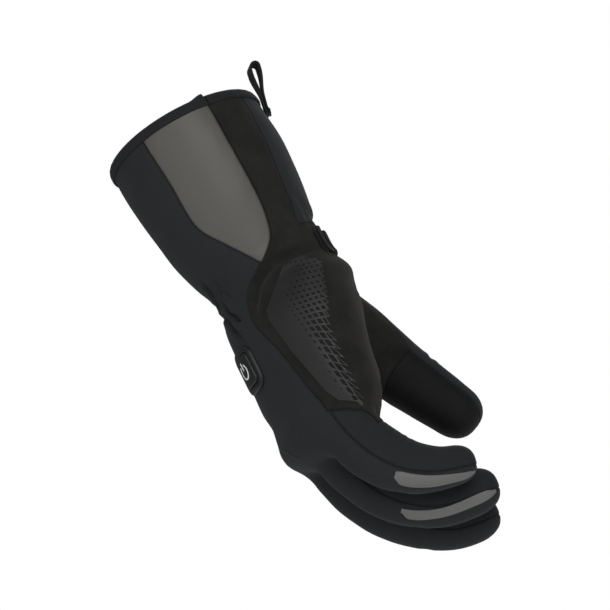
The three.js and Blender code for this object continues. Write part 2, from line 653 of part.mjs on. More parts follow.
function pullLoop() {
  const foot = bodyPoint(90, LOOP_FOOT, SEAM_GAP);
  const rise = LOOP_HEIGHT - LOOP_SPAN / 2;
  const shut = LOOP_CLOTH + SEAM_GAP;
  const reach = (LOOP_SPAN - LOOP_CLOTH) / 2;
  // Middle line of the webbing as height above the seat and distance from the drop's middle.
  const strand = (t) => ({ up: t * rise, off: lerp(shut / 2, reach, smooth(t * 1.15)) });
  const line = [
    { up: -LOOP_SEAT, off: -shut / 2 },
    ...steps(0, 1, 6).map((t) => ({ up: strand(t).up, off: -strand(t).off })),
    ...steps(0, 180, 6).slice(1, -1).map((turn) => ({
      up: rise + reach * Math.sin(turn * DEGREE), off: -reach * Math.cos(turn * DEGREE),
    })),
    ...steps(1, 0, 6).map(strand),
    { up: -LOOP_SEAT, off: shut / 2 },
  ];
  const lean = Math.tan(LOOP_LEAN * DEGREE);
  const at = line.map(({ up, off }) => new THREE.Vector2(
    shut / 2 + LOOP_CLOTH / 2 + off + lean * Math.max(0, up), up + LOOP_SEAT));
  return loft(at.map((p, k) => {
    const ahead = at[Math.min(at.length - 1, k + 1)].clone();
    const run = ahead.sub(at[Math.max(0, k - 1)]).normalize();
    const across = new THREE.Vector2(run.y, -run.x).multiplyScalar(LOOP_CLOTH / 2);
    const twist = LOOP_TWIST * DEGREE * smooth((p.y - LOOP_SEAT) / rise);
    const middle = (p.y - LOOP_SEAT) * lean;
    return [[1, 1], [-1, 1], [-1, -1], [1, -1]].map(([a, b]) => {
      const out = p.x + a * across.x;
      const centre = Math.max(0, middle);
      const away = out - centre;
      const along = (b * LOOP_WIDTH) / 2;
      return new THREE.Vector3(
        foot.x + centre + away * Math.cos(twist) - along * Math.sin(twist),
        foot.y + away * Math.sin(twist) + along * Math.cos(twist),
        foot.z + p.y + a * across.y,
      );
    });
  }));
}

// Control button on the back of the hand: a rounded square housing that fits the cloth, with a
// pad set into it.
const BUTTON_TURN = -70;
const BUTTON_HEIGHT_Z = -150;
const BUTTON_ROUND = 7; // corner radius of the housing
const BUTTON_SINK = 9; // depth of the blank before the cloth's form is cut from it
const PAD_SEAT = 1.2;

function roundedBlock(side, radius, low, high, bevel) {
  const half = side / 2 - bevel;
  const round = radius - bevel;
  const shape = new THREE.Shape();
  shape.moveTo(half - round, -half);
  shape.absarc(half - round, -half + round, round, -Math.PI / 2, 0);
  shape.absarc(half - round, half - round, round, 0, Math.PI / 2);
  shape.absarc(-half + round, half - round, round, Math.PI / 2, Math.PI);
  shape.absarc(-half + round, -half + round, round, Math.PI, Math.PI * 1.5);
  shape.closePath();
  const geometry = new THREE.ExtrudeGeometry(shape, {
    depth: high - low - 2 * bevel, curveSegments: 3, bevelThickness: bevel, bevelSize: bevel,
    bevelSegments: 1, bevelEnabled: bevel > 0,
  });
  geometry.translate(0, 0, low + bevel);
  return geometry;
}

// Frame on the back of the hand: out of the cloth is its third axis.
function buttonFrame() {
  const centre = bodyPoint(BUTTON_TURN, BUTTON_HEIGHT_Z);
  const ahead = bodyPoint(BUTTON_TURN + 8, BUTTON_HEIGHT_Z);
  const behind = bodyPoint(BUTTON_TURN - 8, BUTTON_HEIGHT_Z);
  const above = bodyPoint(BUTTON_TURN, BUTTON_HEIGHT_Z + BUTTON_SIDE / 2);
  const below = bodyPoint(BUTTON_TURN, BUTTON_HEIGHT_Z - BUTTON_SIDE / 2);
  const up = above.sub(below).normalize();
  const across = ahead.sub(behind).normalize();
  const out = new THREE.Vector3().crossVectors(across, up).normalize();
  across.crossVectors(up, out);
  return new THREE.Matrix4().makeBasis(across, up, out).setPosition(centre);
}

const onHand = buttonFrame();
const seat = bodySolid(RIM, -GLOVE_DROP, SEAM_GAP, BODY_PLACES);
const block = (...sizes) => solidFrom(roundedBlock(...sizes).applyMatrix4(onHand));
const padCorner = BUTTON_ROUND - (BUTTON_SIDE - PAD_SIDE) / 2 + 1;
const housing = cut(
  block(BUTTON_SIDE, BUTTON_ROUND, -BUTTON_SINK, BUTTON_HEIGHT, 1),
  [seat, block(PAD_SIDE + 2 * SEAM_GAP, padCorner + SEAM_GAP, BUTTON_HEIGHT - PAD_SEAT,
    BUTTON_HEIGHT + 2, 0)],
);
const pad = block(PAD_SIDE, padCorner, BUTTON_HEIGHT - PAD_SEAT + SEAM_GAP,
  BUTTON_HEIGHT + PAD_RISE, 0.6);

// Outline of the grip print on the heel of the hand, seen from the little finger's side: down
// is a share of the glove and ahead a share of MOUTH_DEPTH towards the palm.
const GRIP_EDGE = [
  { down: 0.496, ahead: 0.132 },
  { down: 0.501, ahead: 0.214 },
  { down: 0.52, ahead: 0.3 },
  { down: 0.54, ahead: 0.32 },
  { down: 0.651, ahead: 0.225 },
  { down: 0.712, ahead: 0.155 },
  { down: 0.826, ahead: 0.122 },
  { down: 0.927, ahead: 0.112 },
  { down: 0.895, ahead: -0.003 },
  { down: 0.858, ahead: -0.041 },
  { down: 0.726, ahead: -0.096 },
  { down: 0.62, ahead: -0.122 },
  { down: 0.592, ahead: -0.106 },
  { down: 0.547, ahead: 0.004 },
];
const gripFilm = bodySolid(RIM, -GLOVE_DROP, SEAM_GAP + FILM, BODY_PLACES)
  .subtract(seat)
  .intersect(slab(place(GRIP_EDGE), 0, -REACH, 0));

// Rows of the tapes in the side seams of two fingers: along is a share of the finger's length,
// from and to are the tape's edges.
const LITTLE_TAPE = [
  { along: 0.535, from: -36, to: -20 },
  { along: 0.57, from: -50, to: -18 },
  { along: 0.7, from: -56, to: -21 },
  { along: 0.83, from: -60, to: -28 },
  { along: 0.93, from: -66, to: -40 },
  { along: 0.965, from: -66, to: -54 },
];
const RING_TAPE = [
  { along: 0.53, from: -36, to: -26 },
  { along: 0.565, from: -49, to: -25 },
  { along: 0.68, from: -42, to: -19 },
  { along: 0.8, from: -36, to: -12 },
  { along: 0.92, from: -36, to: -12 },
  { along: 0.965, from: -34, to: -22 },
];

// Tape laid on a finger's facets.
function tapeOn(finger, rows) {
  const [first, last] = [rows[0].along, rows[rows.length - 1].along];
  const between = DIGIT_STATIONS.filter((along) => along > first && along < last);
  return loft([first, ...between, last].map((along) => {
    const turns = steps(readRows(rows, "along", "from", along),
      readRows(rows, "along", "to", along), 3);
    return [
      ...turns.map((turn) => digitPoint(finger, along, turn, SEAM_GAP)),
      ...turns.reverse().map((turn) => digitPoint(finger, along, turn, SEAM_GAP + FILM)),
    ];
  }));
}

// Materials

function cloth(color, roughness, metalness = 0) {
  return new THREE.MeshStandardMaterial({ color, roughness, metalness });
}
const SOFTSHELL = cloth(0x282a2d, 0.85);
const SUEDE = cloth(0x242422, 0.95);
const REFLECTIVE = cloth(0x5f5e5b, 0.55);
const GRIP = cloth(0x2c2c2c, 0.5);
const BLACK_CLOTH = cloth(0x1b1b1b, 0.85);
const RUBBER = cloth(0x343536, 0.5);

const glove = new THREE.Group();

// Named mesh of a solid.
function add(name, solid, material) {
  const mesh = mainBody(solid).getMesh();
  const geometry = new THREE.BufferGeometry();
  const corners = new Float32Array((mesh.vertProperties.length / mesh.numProp) * 3);
  for (let k = 0; k < corners.length / 3; k += 1) {
    corners.set(mesh.vertProperties.subarray(k * mesh.numProp, k * mesh.numProp + 3), 3 * k);
  }
  geometry.setAttribute("position", new THREE.BufferAttribute(corners, 3));
  geometry.setIndex(new THREE.BufferAttribute(new Uint32Array(mesh.triVerts), 1));
  geometry.computeVertexNormals();
  const piece = new THREE.Mesh(geometry, material);
  piece.name = name;
  glove.add(piece);
}

add("back_shell", back, SOFTSHELL);
add("palm_shell", palm, SUEDE);
add("cuff_gusset", gusset, SOFTSHELL);
add("reflective_panel", panel, REFLECTIVE);
fingers.forEach((finger, k) => add(`${finger.name}_finger_front`, fronts[k], SOFTSHELL));
add("thumb_back", thumbBackCloth, SOFTSHELL);
add("thumb_front", thumbFrontCloth, BLACK_CLOTH);
add("grip_print", gripFilm, GRIP);
add("little_finger_tape", tapeOn(little, LITTLE_TAPE), REFLECTIVE);
add("ring_finger_tape", tapeOn(ring, RING_TAPE), REFLECTIVE);
add("cuff_binding_back", bindingBack, BLACK_CLOTH);
add("cuff_binding_palm", bindingPalm, BLACK_CLOTH);
add("wrist_strap", strap, BLACK_CLOTH);
add("strap_pull_tab", tab, BLACK_CLOTH);
add("strap_keeper", keeper, BLACK_CLOTH);
add("pull_loop", pullLoop(), BLACK_CLOTH);
add("button_housing", housing, RUBBER);
add("button_pad", pad, RUBBER);

export default glove;
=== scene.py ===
"""Looks of a heated gauntlet glove for the left hand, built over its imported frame.

Lengths in the tables are millimetres or shares of the named sizes. The origin is the centre of
the cuff's mouth, +Z points up out of it, +X is the palm side and -Y the little finger's side.
"""

import math

import bpy
import numpy as np
from bpy.props import FloatProperty, FloatVectorProperty, PointerProperty
from mathutils import Matrix, Vector


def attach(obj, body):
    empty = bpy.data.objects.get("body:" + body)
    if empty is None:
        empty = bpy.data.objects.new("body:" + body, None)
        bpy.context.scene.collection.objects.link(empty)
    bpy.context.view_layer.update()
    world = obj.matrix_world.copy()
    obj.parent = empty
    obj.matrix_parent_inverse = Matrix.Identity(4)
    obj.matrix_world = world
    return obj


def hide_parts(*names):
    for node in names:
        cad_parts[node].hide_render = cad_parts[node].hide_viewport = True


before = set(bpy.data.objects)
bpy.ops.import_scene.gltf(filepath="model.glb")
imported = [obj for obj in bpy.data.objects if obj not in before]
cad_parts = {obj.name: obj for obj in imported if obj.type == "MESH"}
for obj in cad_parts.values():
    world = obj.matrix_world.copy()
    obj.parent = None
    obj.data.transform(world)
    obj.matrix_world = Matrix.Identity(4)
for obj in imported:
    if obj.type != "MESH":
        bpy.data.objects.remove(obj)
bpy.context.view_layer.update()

bl_info = {
    "name": "Heated Glove",
    "version": (1, 0, 0),
    "blender": (4, 5, 0),
    "location": "View3D > Sidebar > Glove",
    "description": "Builds the cloth, trims and materials of a gauntlet heated glove",
    "category": "Object",
}

MM = 0.001
DEGREE = math.pi / 180

# Sizes of the cuff, the hand, the fingers and the thumb
MOUTH_DEPTH, MOUTH_WIDTH, CUFF_LENGTH = 97.5, 106.0, 100.5
WRIST_DEPTH, WRIST_WIDTH = 77.5, 78.0
HAND_LENGTH, HAND_DEPTH, HAND_WIDTH, PALM_CUP = 118.0, 85.0, 106.0, 8.0
GLOVE_DROP = CUFF_LENGTH + HAND_LENGTH
WALL = 3.0
FINGER_PITCH, FINGER_WIDTH = 26.7, 25.4
TIP_START, SQUARENESS = 0.86, 2.25
STATIONS = 101

# Rows down the glove: the cuff's against its length and mouth, the wrist's against the wrist,
# the hand's against its own length, depth and width.
# Columns: down, back, palm, side, cup, square.
CUFF_ROWS = np.array([
    (0, 0.498, 0.5, 0.5, 0, 2),
    (0.08, 0.497, 0.508, 0.5, 0, 2),
    (0.283, 0.489, 0.522, 0.487, 0, 2),
    (0.508, 0.463, 0.51, 0.462, 0, 2.05),
    (0.693, 0.434, 0.484, 0.428, 0, 2.1),
    (0.857, 0.388, 0.455, 0.39, 0, 2.1),
])
WRIST_ROWS = np.array([(1, 0.427, 0.553, 0.5, 0, 2.15)])
HAND_ROWS = np.array([
    (0.068, 0.381, 0.51, 0.378, 0, 2.15),
    (0.178, 0.413, 0.57, 0.432, 0.2, 2.2),
    (0.263, 0.425, 0.535, 0.468, 0.5, 2.25),
    (0.356, 0.435, 0.51, 0.487, 0.8, 2.3),
    (0.5, 0.446, 0.445, 0.497, 1, 2.35),
    (0.61, 0.456, 0.4, 0.5, 1, 2.35),
    (0.703, 0.45, 0.375, 0.5, 1, 2.35),
    (0.788, 0.472, 0.34, 0.5, 1, 2.35),
    (0.856, 0.49, 0.28, 0.498, 1, 2.35),
    (0.93, 0.462, 0.2, 0.494, 1, 2.3),
    (1, 0.38, 0.08, 0.478, 1, 2.2),
])

# Rows along the digits: share of the length, lean towards the palm and sideways splay in
# degrees, depth and width as shares of the digit's own.
DIGIT_ROWS = {
    "little": np.array([
        (0, 6, -3, 1, 1), (0.24, 18, -5, 1.02, 1.02), (0.47, 36, -5, 0.97, 1),
        (0.69, 60, -4, 0.8, 0.98), (0.83, 73, -2, 0.68, 0.94), (1, 80, 0, 0.62, 0.88)]),
    "ring": np.array([
        (0, 8, -1, 1, 1), (0.18, 15, -2, 1, 1), (0.375, 28, -2, 0.97, 1),
        (0.61, 55, -2, 0.9, 0.98), (0.8, 80, -1, 0.84, 0.95), (1, 86, 0, 0.78, 0.9)]),
    "middle": np.array([
        (0, 8, 1, 1, 1), (0.3, 22, 1, 1, 1), (0.52, 42, 1, 0.95, 1),
        (0.72, 60, 1, 0.9, 0.98), (0.85, 80, 0, 0.84, 0.95), (1, 88, 0, 0.78, 0.9)]),
    "index": np.array([
        (0, 8, 4, 1, 1), (0.2, 14, 5, 1, 1), (0.42, 28, 4, 0.96, 1),
        (0.62, 50, 3, 0.9, 0.98), (0.8, 72, 1, 0.84, 0.95), (1, 80, 0, 0.78, 0.9)]),
    "thumb": np.array([
        (0, 24, 26, 1, 1), (0.25, 27, 22, 1.05, 0.95), (0.5, 26, 10, 0.91, 0.87),
        (0.75, 26, 0, 0.8, 0.8), (0.9, 25, -6, 0.73, 0.75), (1, 25, -8, 0.7, 0.72)]),
}
FINGER_NAMES = ("little", "ring", "middle", "index")
# Roots: pitches from the hand's middle, share of the hand's depth ahead, share of its length
# down, then length, depth and width in millimetres.
DIGIT_ROOTS = {
    "little": (-1.5, -0.047, 0.822, 92.5, 34.0, FINGER_WIDTH),
    "ring": (-0.5, -0.165, 0.852, 117.0, 33.0, FINGER_WIDTH),
    "middle": (0.5, -0.212, 0.884, 121.0, 33.0, FINGER_WIDTH),
    "index": (1.5, -0.141, 0.848, 109.0, 33.0, FINGER_WIDTH),
    "thumb": (0.95, 0.24, 0.205, 125.0, 44.0, 38.0),
}

# Soft dents of the gathered wrist: turn, share down the glove, share of the wall, half breadth
# in degrees, half height as a share of the wrist.
DENTS = np.array([
    (-62, 0.449, 0.75, 30, 0.05), (-88, 0.515, 0.4, 34, 0.045), (-52, 0.545, 0.6, 22, 0.04),
    (-125, 0.48, 0.7, 26, 0.05), (27, 0.485, 0.7, 20, 0.045), (96, 0.397, 0.6, 30, 0.05),
])

# Seam lines seen from the side: share down the glove, share of the mouth's depth ahead.
SIDE_SEAM = np.array([
    (-0.049, 0.188), (0.057, 0.189), (0.298, 0.186), (0.369, 0.168), (0.42, 0.126),
    (0.465, 0.011), (0.501, -0.115), (0.551, -0.185), (0.584, -0.208), (0.634, -0.193),
    (0.712, -0.154), (0.812, -0.124), (0.904, -0.09),
])
SEAM_ROWS_OF_PANEL = 0.465
PALM_EDGE = np.array([(0.926, 0.02), (0.948, 0.1), (0.992, 0.135)])
PANEL_EDGE = np.array([
    (-0.049, -0.262), (0.043, -0.258), (0.173, -0.24), (0.262, -0.238), (0.3, -0.226),
    (0.33, -0.196), (0.375, -0.127), (0.42, -0.058), (0.453, -0.008), (0.465, 0.011),
])
GUSSET_EDGE = np.array([
    (-0.049, 0.392), (0.067, 0.405), (0.186, 0.394), (0.33, 0.352), (0.411, 0.33),
])
GRIP_EDGE = np.array([
    (0.496, 0.132), (0.501, 0.214), (0.52, 0.3), (0.54, 0.32), (0.651, 0.225), (0.712, 0.155),
    (0.826, 0.122), (0.927, 0.112), (0.895, -0.003), (0.858, -0.041), (0.726, -0.096),
    (0.62, -0.122), (0.592, -0.106), (0.547, 0.004),
])
# Teeth of the print's palm edge, bars between its holes, and how far off the outlines close
TEETH = 3.6
BAR = 0.75
FAR_AHEAD = 1.2
# Where the cloths end below the mouth, and the drop of the knuckles
RIM_LINE = 1.6
KNUCKLE_DROP = 212.0

# Seams of the digits
SEAM_BEHIND = 3.6
FRONT_START = 0.02
THUMB_BACK_TURN = 38.0
THUMB_BACK_START = 0.54
THUMB_BACK_SLANT = 3.0
THUMB_FRONT_START = 0.54
THUMB_SEAM_OFF = 1.5

# Tapes on two finger seams: share along the finger, turns of the two edges.
TAPE_ROWS = {
    "little": np.array([
        (0.535, -36, -20), (0.57, -50, -18), (0.7, -56, -21), (0.83, -60, -28),
        (0.93, -66, -40), (0.965, -66, -54)]),
    "ring": np.array([
        (0.53, -36, -26), (0.565, -49, -25), (0.68, -42, -19), (0.8, -36, -12),
        (0.92, -36, -12), (0.965, -34, -22)]),
}

# Creases and folds: the form they lie on, points as turn and height (or share along a digit),
# depth and half breadth in millimetres; a negative depth is a ridge.
CREASES = (
    ("body", ((-64, -89), (-78, -100), (-74, -107)), 2.2, 1.7),
    ("body", ((-54, -96), (-63, -106)), 1.7, 1.2),
    ("body", ((-66, -107), (-60, -117), (-50, -126)), 2.0, 1.7),
    ("body", ((-100, -111), (-80, -111), (-64, -122), (-58, -136)), 2.3, 1.8),
    ("body", ((-62, -113), (-54, -121)), 1.4, 1.0),
    ("body", ((-58, -101), (-51, -104), (-48, -109)), 0.9, 0.9),
    ("body", ((-63, -118), (-55, -122), (-47, -124)), 0.9, 0.9),
    ("body", ((-70, -105), (-66, -113)), -0.8, 1.6),
    ("body", ((-95, -104), (-110, -100), (-128, -104)), 0.9, 1.9),
    ("body", ((-96, -113), (-112, -119), (-124, -128)), 0.8, 1.7),
    ("body", ((-140, -97), (-152, -108), (-150, -120)), 0.8, 1.9),
    ("body", ((-38, -130), (-30, -121), (-20, -113), (-8, -108), (2, -105), (14, -104.5),
              (28, -104.5), (42, -106)), 2.5, 3.0),
    ("body", ((46, -72), (50, -84), (52, -92)), -0.9, 3.2),
    ("body", ((62, -82), (90, -86), (118, -82)), 0.9, 3.0),
    ("body", ((150, -96), (166, -104), (176, -112)), 1.0, 2.4),
    ("body", ((70, -132), (92, -146), (108, -164)), 0.9, 3.4),
    ("body", ((58, -188), (90, -196), (120, -190)), 0.8, 3.0),
    ("body", ((-84, -192), (-68, -203), (-64, -211)), -0.5, 1.6),
    ("body", ((-40, -192), (-52, -199), (-66, -200)), 0.4, 3.0),
    ("little", ((72, 0.33), (48, 0.335), (34, 0.33)), 0.35, 1.0),
    ("little", ((74, 0.40), (52, 0.405), (38, 0.41)), 0.4, 1.0),
    ("little", ((82, 0.465), (56, 0.47), (40, 0.47)), 0.5, 1.0),
    ("little", ((86, 0.53), (60, 0.535), (44, 0.53)), 0.35, 1.1),
    ("ring", ((60, 0.36), (90, 0.365), (120, 0.36)), 0.8, 1.5),
    ("ring", ((60, 0.58), (90, 0.585), (120, 0.58)), 0.8, 1.5),
    ("middle", ((55, 0.34), (90, 0.345), (125, 0.34)), 0.8, 1.5),
    ("middle", ((55, 0.56), (90, 0.565), (125, 0.56)), 0.8, 1.5),
    ("index", ((55, 0.34), (90, 0.345), (125, 0.34)), 0.8, 1.5),
    ("index", ((55, 0.56), (90, 0.565), (125, 0.56)), 0.8, 1.5),
    ("thumb", ((40, 0.62), (80, 0.625), (120, 0.61)), 0.6, 1.8),
    ("thumb", ((-20, 0.36), (10, 0.40), (40, 0.41)), 0.5, 1.8),
)

# Trims
BINDING_HEIGHT, BINDING_CLOTH, BINDING_STEP = 6.5, 0.9, 2.0
BINDING_SPLIT, STEP_TURN = 22.0, 12.0
STRAP_TOP, STRAP_WIDTH = -94.5, 16.0
# Bands of the strap: node, first and last turn, inset of the width, finish
STRAP_BANDS = {
    "wrist_webbing": ("wrist_strap", 57, 142, 0.0, "webbing"),
    "pull_end": ("strap_pull_tab", 72, 118, 1.2, "webbing"),
    "keeper_band": ("strap_keeper", 60, 68, -1.4, "tape"),
}
WEBBING_BASE, OVER_WEBBING, KEEPER_CLOTH = 0.1, 0.25, 1.1
LOOP_HEIGHT, LOOP_SPAN, LOOP_WIDTH, LOOP_CLOTH = 29.5, 7.4, 9.0, 1.4
LOOP_SEAT, LOOP_FOOT, LOOP_LEAN, LOOP_TWIST = 4.0, -14.0, 12.5, 16.0
BUTTON_TURN, BUTTON_Z, BUTTON_SIDE, BUTTON_ROUND = -70.0, -150.0, 27.0, 7.0

# Camera, found by setting the glove's outline against the picture
VIEW_AZIMUTH, VIEW_ELEVATION, VIEW_ROLL, VIEW_DISTANCE = -5.0, -12.0, 29.5, 1300.0
VIEW_TARGET = (14.14, -0.9, -127.46)
FOCAL_SHARE = 2210 / 610
FLOOR_HEIGHT = -470.0
# Lamps: place as metres across, up and back from the glove, size in metres, watts
LAMPS = {
    "key": ((0.1, 0.75, 1.25), 0.9, 12.6),
    "fill": ((-1.0, -0.1, 1.1), 1.2, 6.7),
    "far": ((0.2, 0.9, -1.2), 1.0, 5),
}
TOP_LAMP = ((-0.1, 0.1, 1.2), 1.0, 3)
SURROUND_LIGHT, FLOOR_GLOW = 0.2, 0.22


# The forms


def read_rows(keys, values, place):
    """Columns at a place: a cubic through the rows whose slope at a row is that of the chord
    between its neighbours, flat at both ends."""
    place = np.asarray(place, float)
    last = len(keys) - 1
    c = np.clip(np.searchsorted(keys, place, side="right"), 1, last)
    b = c - 1
    a, d = np.maximum(b - 1, 0), np.minimum(c + 1, last)
    span = (keys[c] - keys[b])[..., None]
    t = np.clip((place - keys[b])[..., None] / span, 0, 1)
    chord_b = (values[c] - values[a]) / (keys[c] - keys[a])[..., None] * span
    chord_c = (values[d] - values[b]) / (keys[d] - keys[b])[..., None] * span
    slope_b = np.where((a == b)[..., None], 0, chord_b)
    slope_c = np.where((c == d)[..., None], 0, chord_c)
    return ((2 * t**3 - 3 * t**2 + 1) * values[b] + (t**3 - 2 * t**2 + t) * slope_b
            + (3 * t**2 - 2 * t**3) * values[c] + (t**3 - t**2) * slope_c)


def smooth_step(t):
    t = np.clip(t, 0, 1)
    return t * t * (3 - 2 * t)


def scaled_rows(rows, start, length, depth, width):
    """Rows in millimetres: depth from the mouth, back, palm, side, cup, then the exponent."""
    scale = np.array([length, depth, depth, width, PALM_CUP, 1])
    return rows * scale + np.array([start, 0, 0, 0, 0, 0])


BODY = np.concatenate([
    scaled_rows(CUFF_ROWS, 0, CUFF_LENGTH, MOUTH_DEPTH, MOUTH_WIDTH),
    scaled_rows(WRIST_ROWS, 0, CUFF_LENGTH, WRIST_DEPTH, WRIST_WIDTH),
    scaled_rows(HAND_ROWS, CUFF_LENGTH, HAND_LENGTH, HAND_DEPTH, HAND_WIDTH),
])


def body_rows(z):
    """Back, palm, side, cup and exponent of the cuff and hand at a height."""
    return np.moveaxis(read_rows(BODY[:, 0], BODY[:, 1:], -np.asarray(z, float)), -1, 0)


def power(value, exponent):
    """Power that keeps the sign."""
    return np.sign(value) * np.abs(value) ** exponent


def dent_depth(turn, z):
    """Sum of soft bumps, each falling off as the square of its distance in turn and height."""
    depth = 0
    for centre, down, deep, breadth, tall in DENTS:
        off = turn - centre
        off = off - 360 * np.round(off / 360)
        rise = (-z - down * GLOVE_DROP) / (tall * WRIST_WIDTH)
        depth = depth + deep * WALL * np.exp(-((off / breadth) ** 2) - rise**2)
    return depth


def body_point(turn, z, grow=0.0):
    """Point of the cuff and hand: a superellipse whose half axes and exponent follow the rows,
    its middle moved ahead by the palm's cup times the square of the share sideways."""
    turn, z, grow = np.broadcast_arrays(np.asarray(turn, float), np.asarray(z, float), grow)
    back, palm, side, cup, square = body_rows(z)
    swell = grow - dent_depth(turn, z)
    x = power(np.sin(turn * DEGREE), 2 / square)
    y = -power(np.cos(turn * DEGREE), 2 / square)
    return np.stack([
        (palm - back) / 2 + x * ((palm + back) / 2 + swell) + cup * y * y,
        y * (side + swell), z], axis=-1)


def body_place(points):
    """Turn in degrees and size ratio of points against the cuff and hand, the inverse of
    body_point."""
    back, palm, side, cup, square = body_rows(points[..., 2])
    y = points[..., 1] / side
    middle = (palm - back) / 2 + cup * np.clip(y, -1.2, 1.2) ** 2
    x = (points[..., 0] - middle) / ((palm + back) / 2)
    ratio = (np.abs(x) ** square + np.abs(y) ** square) ** (1 / square)
    turn = np.arctan2(power(x, square / 2), -power(y, square / 2)) / DEGREE
    return turn, ratio


def digit_frame(name):
    """Middle line of a digit: its direction follows the lean and splay of its rows, summed up
    in small steps from the root, with the front and the sideways directions beside it."""
    across, ahead, down, length, depth, width = DIGIT_ROOTS[name]
    rows = DIGIT_ROWS[name]
    along = np.linspace(0, 1, STATIONS)
    lean, splay, deep, wide = read_rows(rows[:, 0], rows[:, 1:], along).T
    lean, splay = lean * DEGREE, splay * DEGREE
    forward = np.stack([np.sin(lean) * np.cos(splay), np.sin(splay),
                        -np.cos(lean) * np.cos(splay)], axis=1)
    front = np.stack([np.cos(lean), 0 * lean, np.sin(lean)], axis=1)
    root = np.array([ahead * HAND_DEPTH, across * FINGER_PITCH, -CUFF_LENGTH - down * HAND_LENGTH])
    steps = forward * length / (STATIONS - 1)
    place = root + np.concatenate([np.zeros((1, 3)), np.cumsum(steps[:-1], axis=0)])
    return {"name": name, "length": length, "along": along, "place": place, "forward": forward,
            "front": front, "across": np.cross(front, forward),
            "depth": deep * depth / 2, "width": wide * width / 2}


DIGITS = {name: digit_frame(name) for name in DIGIT_ROWS}


def along_digit(digit, along, *columns):
    """Values of the digit's columns between its stations, in straight steps."""
    place = np.clip(np.asarray(along, float), 0, 1) * (STATIONS - 1)
    low = np.minimum(place.astype(int), STATIONS - 2)
    share = place - low
    found = []
    for column in columns:
        value = digit[column]
        t = share[..., None] if value.ndim > 1 else share
        found.append(value[low] * (1 - t) + value[low + 1] * t)
    return found


def tip_factor(along):
    t = np.clip((along - TIP_START) / (1 - TIP_START), 0, 1)
    return np.maximum(0.02, (1 - t**2.4) ** (1 / 2.4))


def digit_point(digit, along, turn, grow=0.0):
    """Point of a digit: a superellipse across its middle line, closing to a round tip."""
    along, turn = np.broadcast_arrays(np.asarray(along, float), np.asarray(turn, float))
    place, front, across, depth, width = along_digit(
        digit, along, "place", "front", "across", "depth", "width")
    tip = tip_factor(along)
    x = power(np.sin(turn * DEGREE), 2 / SQUARENESS) * (depth + grow) * tip
    y = -power(np.cos(turn * DEGREE), 2 / SQUARENESS) * (width + grow) * tip
    return place + front * x[..., None] + across * y[..., None]


def digit_place(digit, points):
    """Share along a digit, offsets to its front and sideways, and the size ratio of points,
    each against the nearest station."""
    nearest = np.zeros(len(points), int)
    best = np.full(len(points), np.inf)
    for k in range(0, STATIONS, 2):
        far = ((points - digit["place"][k]) ** 2).sum(axis=1)
        closer = far < best
        best[closer], nearest[closer] = far[closer], k
    offset = points - digit["place"][nearest]
    ahead = (offset * digit["forward"][nearest]).sum(axis=1)
    front = (offset * digit["front"][nearest]).sum(axis=1)
    across = (offset * digit["across"][nearest]).sum(axis=1)
    along = nearest / (STATIONS - 1) + ahead / digit["length"]
    deep, wide = digit["depth"][nearest], digit["width"][nearest]
    ratio = (np.abs(front / deep) ** SQUARENESS + np.abs(across / wide) ** SQUARENESS) ** (
        1 / SQUARENESS)
    ratio = ratio + np.clip(-along, 0, 9) * digit["length"] / deep
    return along, front, across, ratio, nearest


# Mesh helpers


def tube(rings):
    """Faces of a tube through rings of equal count, its ends closed on their middle points."""
    count, sides = rings.shape[:2]
    k = np.arange(sides)
    r = np.arange(count - 1)[:, None] * sides
    quads = np.stack([r + k, r + (k + 1) % sides, r + sides + (k + 1) % sides, r + sides + k],
                     axis=-1).reshape(-1, 4)
    points = rings.reshape(-1, 3)
    ends = np.stack([rings[0].mean(axis=0), rings[-1].mean(axis=0)])
    middle, last = len(points), (count - 1) * sides
    fans = np.concatenate([
        np.stack([np.full(sides, middle), (k + 1) % sides, k], axis=1),
        np.stack([np.full(sides, middle + 1), last + k, last + (k + 1) % sides], axis=1)])
    return np.concatenate([points, ends]), [quads, fans]


def ring_tube(rings):
    """Faces of a tube whose last ring meets its first."""
    count, sides = rings.shape[:2]
    k = np.arange(sides)
    r = np.arange(count)[:, None]
    quads = np.stack([r * sides + k, r * sides + (k + 1) % sides,
                      (r + 1) % count * sides + (k + 1) % sides, (r + 1) % count * sides + k],
                     axis=-1).reshape(-1, 4)
    return rings.reshape(-1, 3), [quads]


def triangles_of(faces):
    return np.concatenate([f if f.shape[1] == 3 else np.concatenate([f[:, :3], f[:, [0, 2, 3]]])
                           for f in faces])


def turned_out(points, faces):
    """Faces of a closed form, turned round if its volume comes out negative."""
    a, b, c = (points[triangles_of(faces)[:, k]] for k in range(3))
    volume = (a * np.cross(b, c)).sum()
    return [f[:, ::-1] for f in faces] if volume < 0 else faces


def closed_tube(rings):
    """Tube through rings with its faces turned out."""
    points, faces = tube(rings)
    return points, turned_out(points, faces)


def run_lengths(line):
    """Length along a line of points up to each of them."""
    steps = np.linalg.norm(np.diff(line, axis=0), axis=1)
    return np.concatenate([[0], np.cumsum(steps)])


def strip_pattern(long, across):
    """Pattern coordinates of a closed tube: along it and across, then its two end points."""
    uv = np.stack(np.broadcast_arrays(long[:, None], across), axis=-1).reshape(-1, 2)
    return np.concatenate([uv, [[0, 0], [long[-1], 0]]])


def joined(parts):
    """One set of points and faces from several."""
    points, faces, base = [], [], 0
    for part_points, part_faces in parts:
        points.append(part_points)
        faces += [f + base for f in turned_out(part_points, part_faces)]
        base += len(part_points)
    return np.concatenate(points), faces


def edges_of(triangles):
    both = np.concatenate([triangles[:, [0, 1]], triangles[:, [1, 2]], triangles[:, [2, 0]]])
    return np.unique(np.sort(both, axis=1), axis=0)


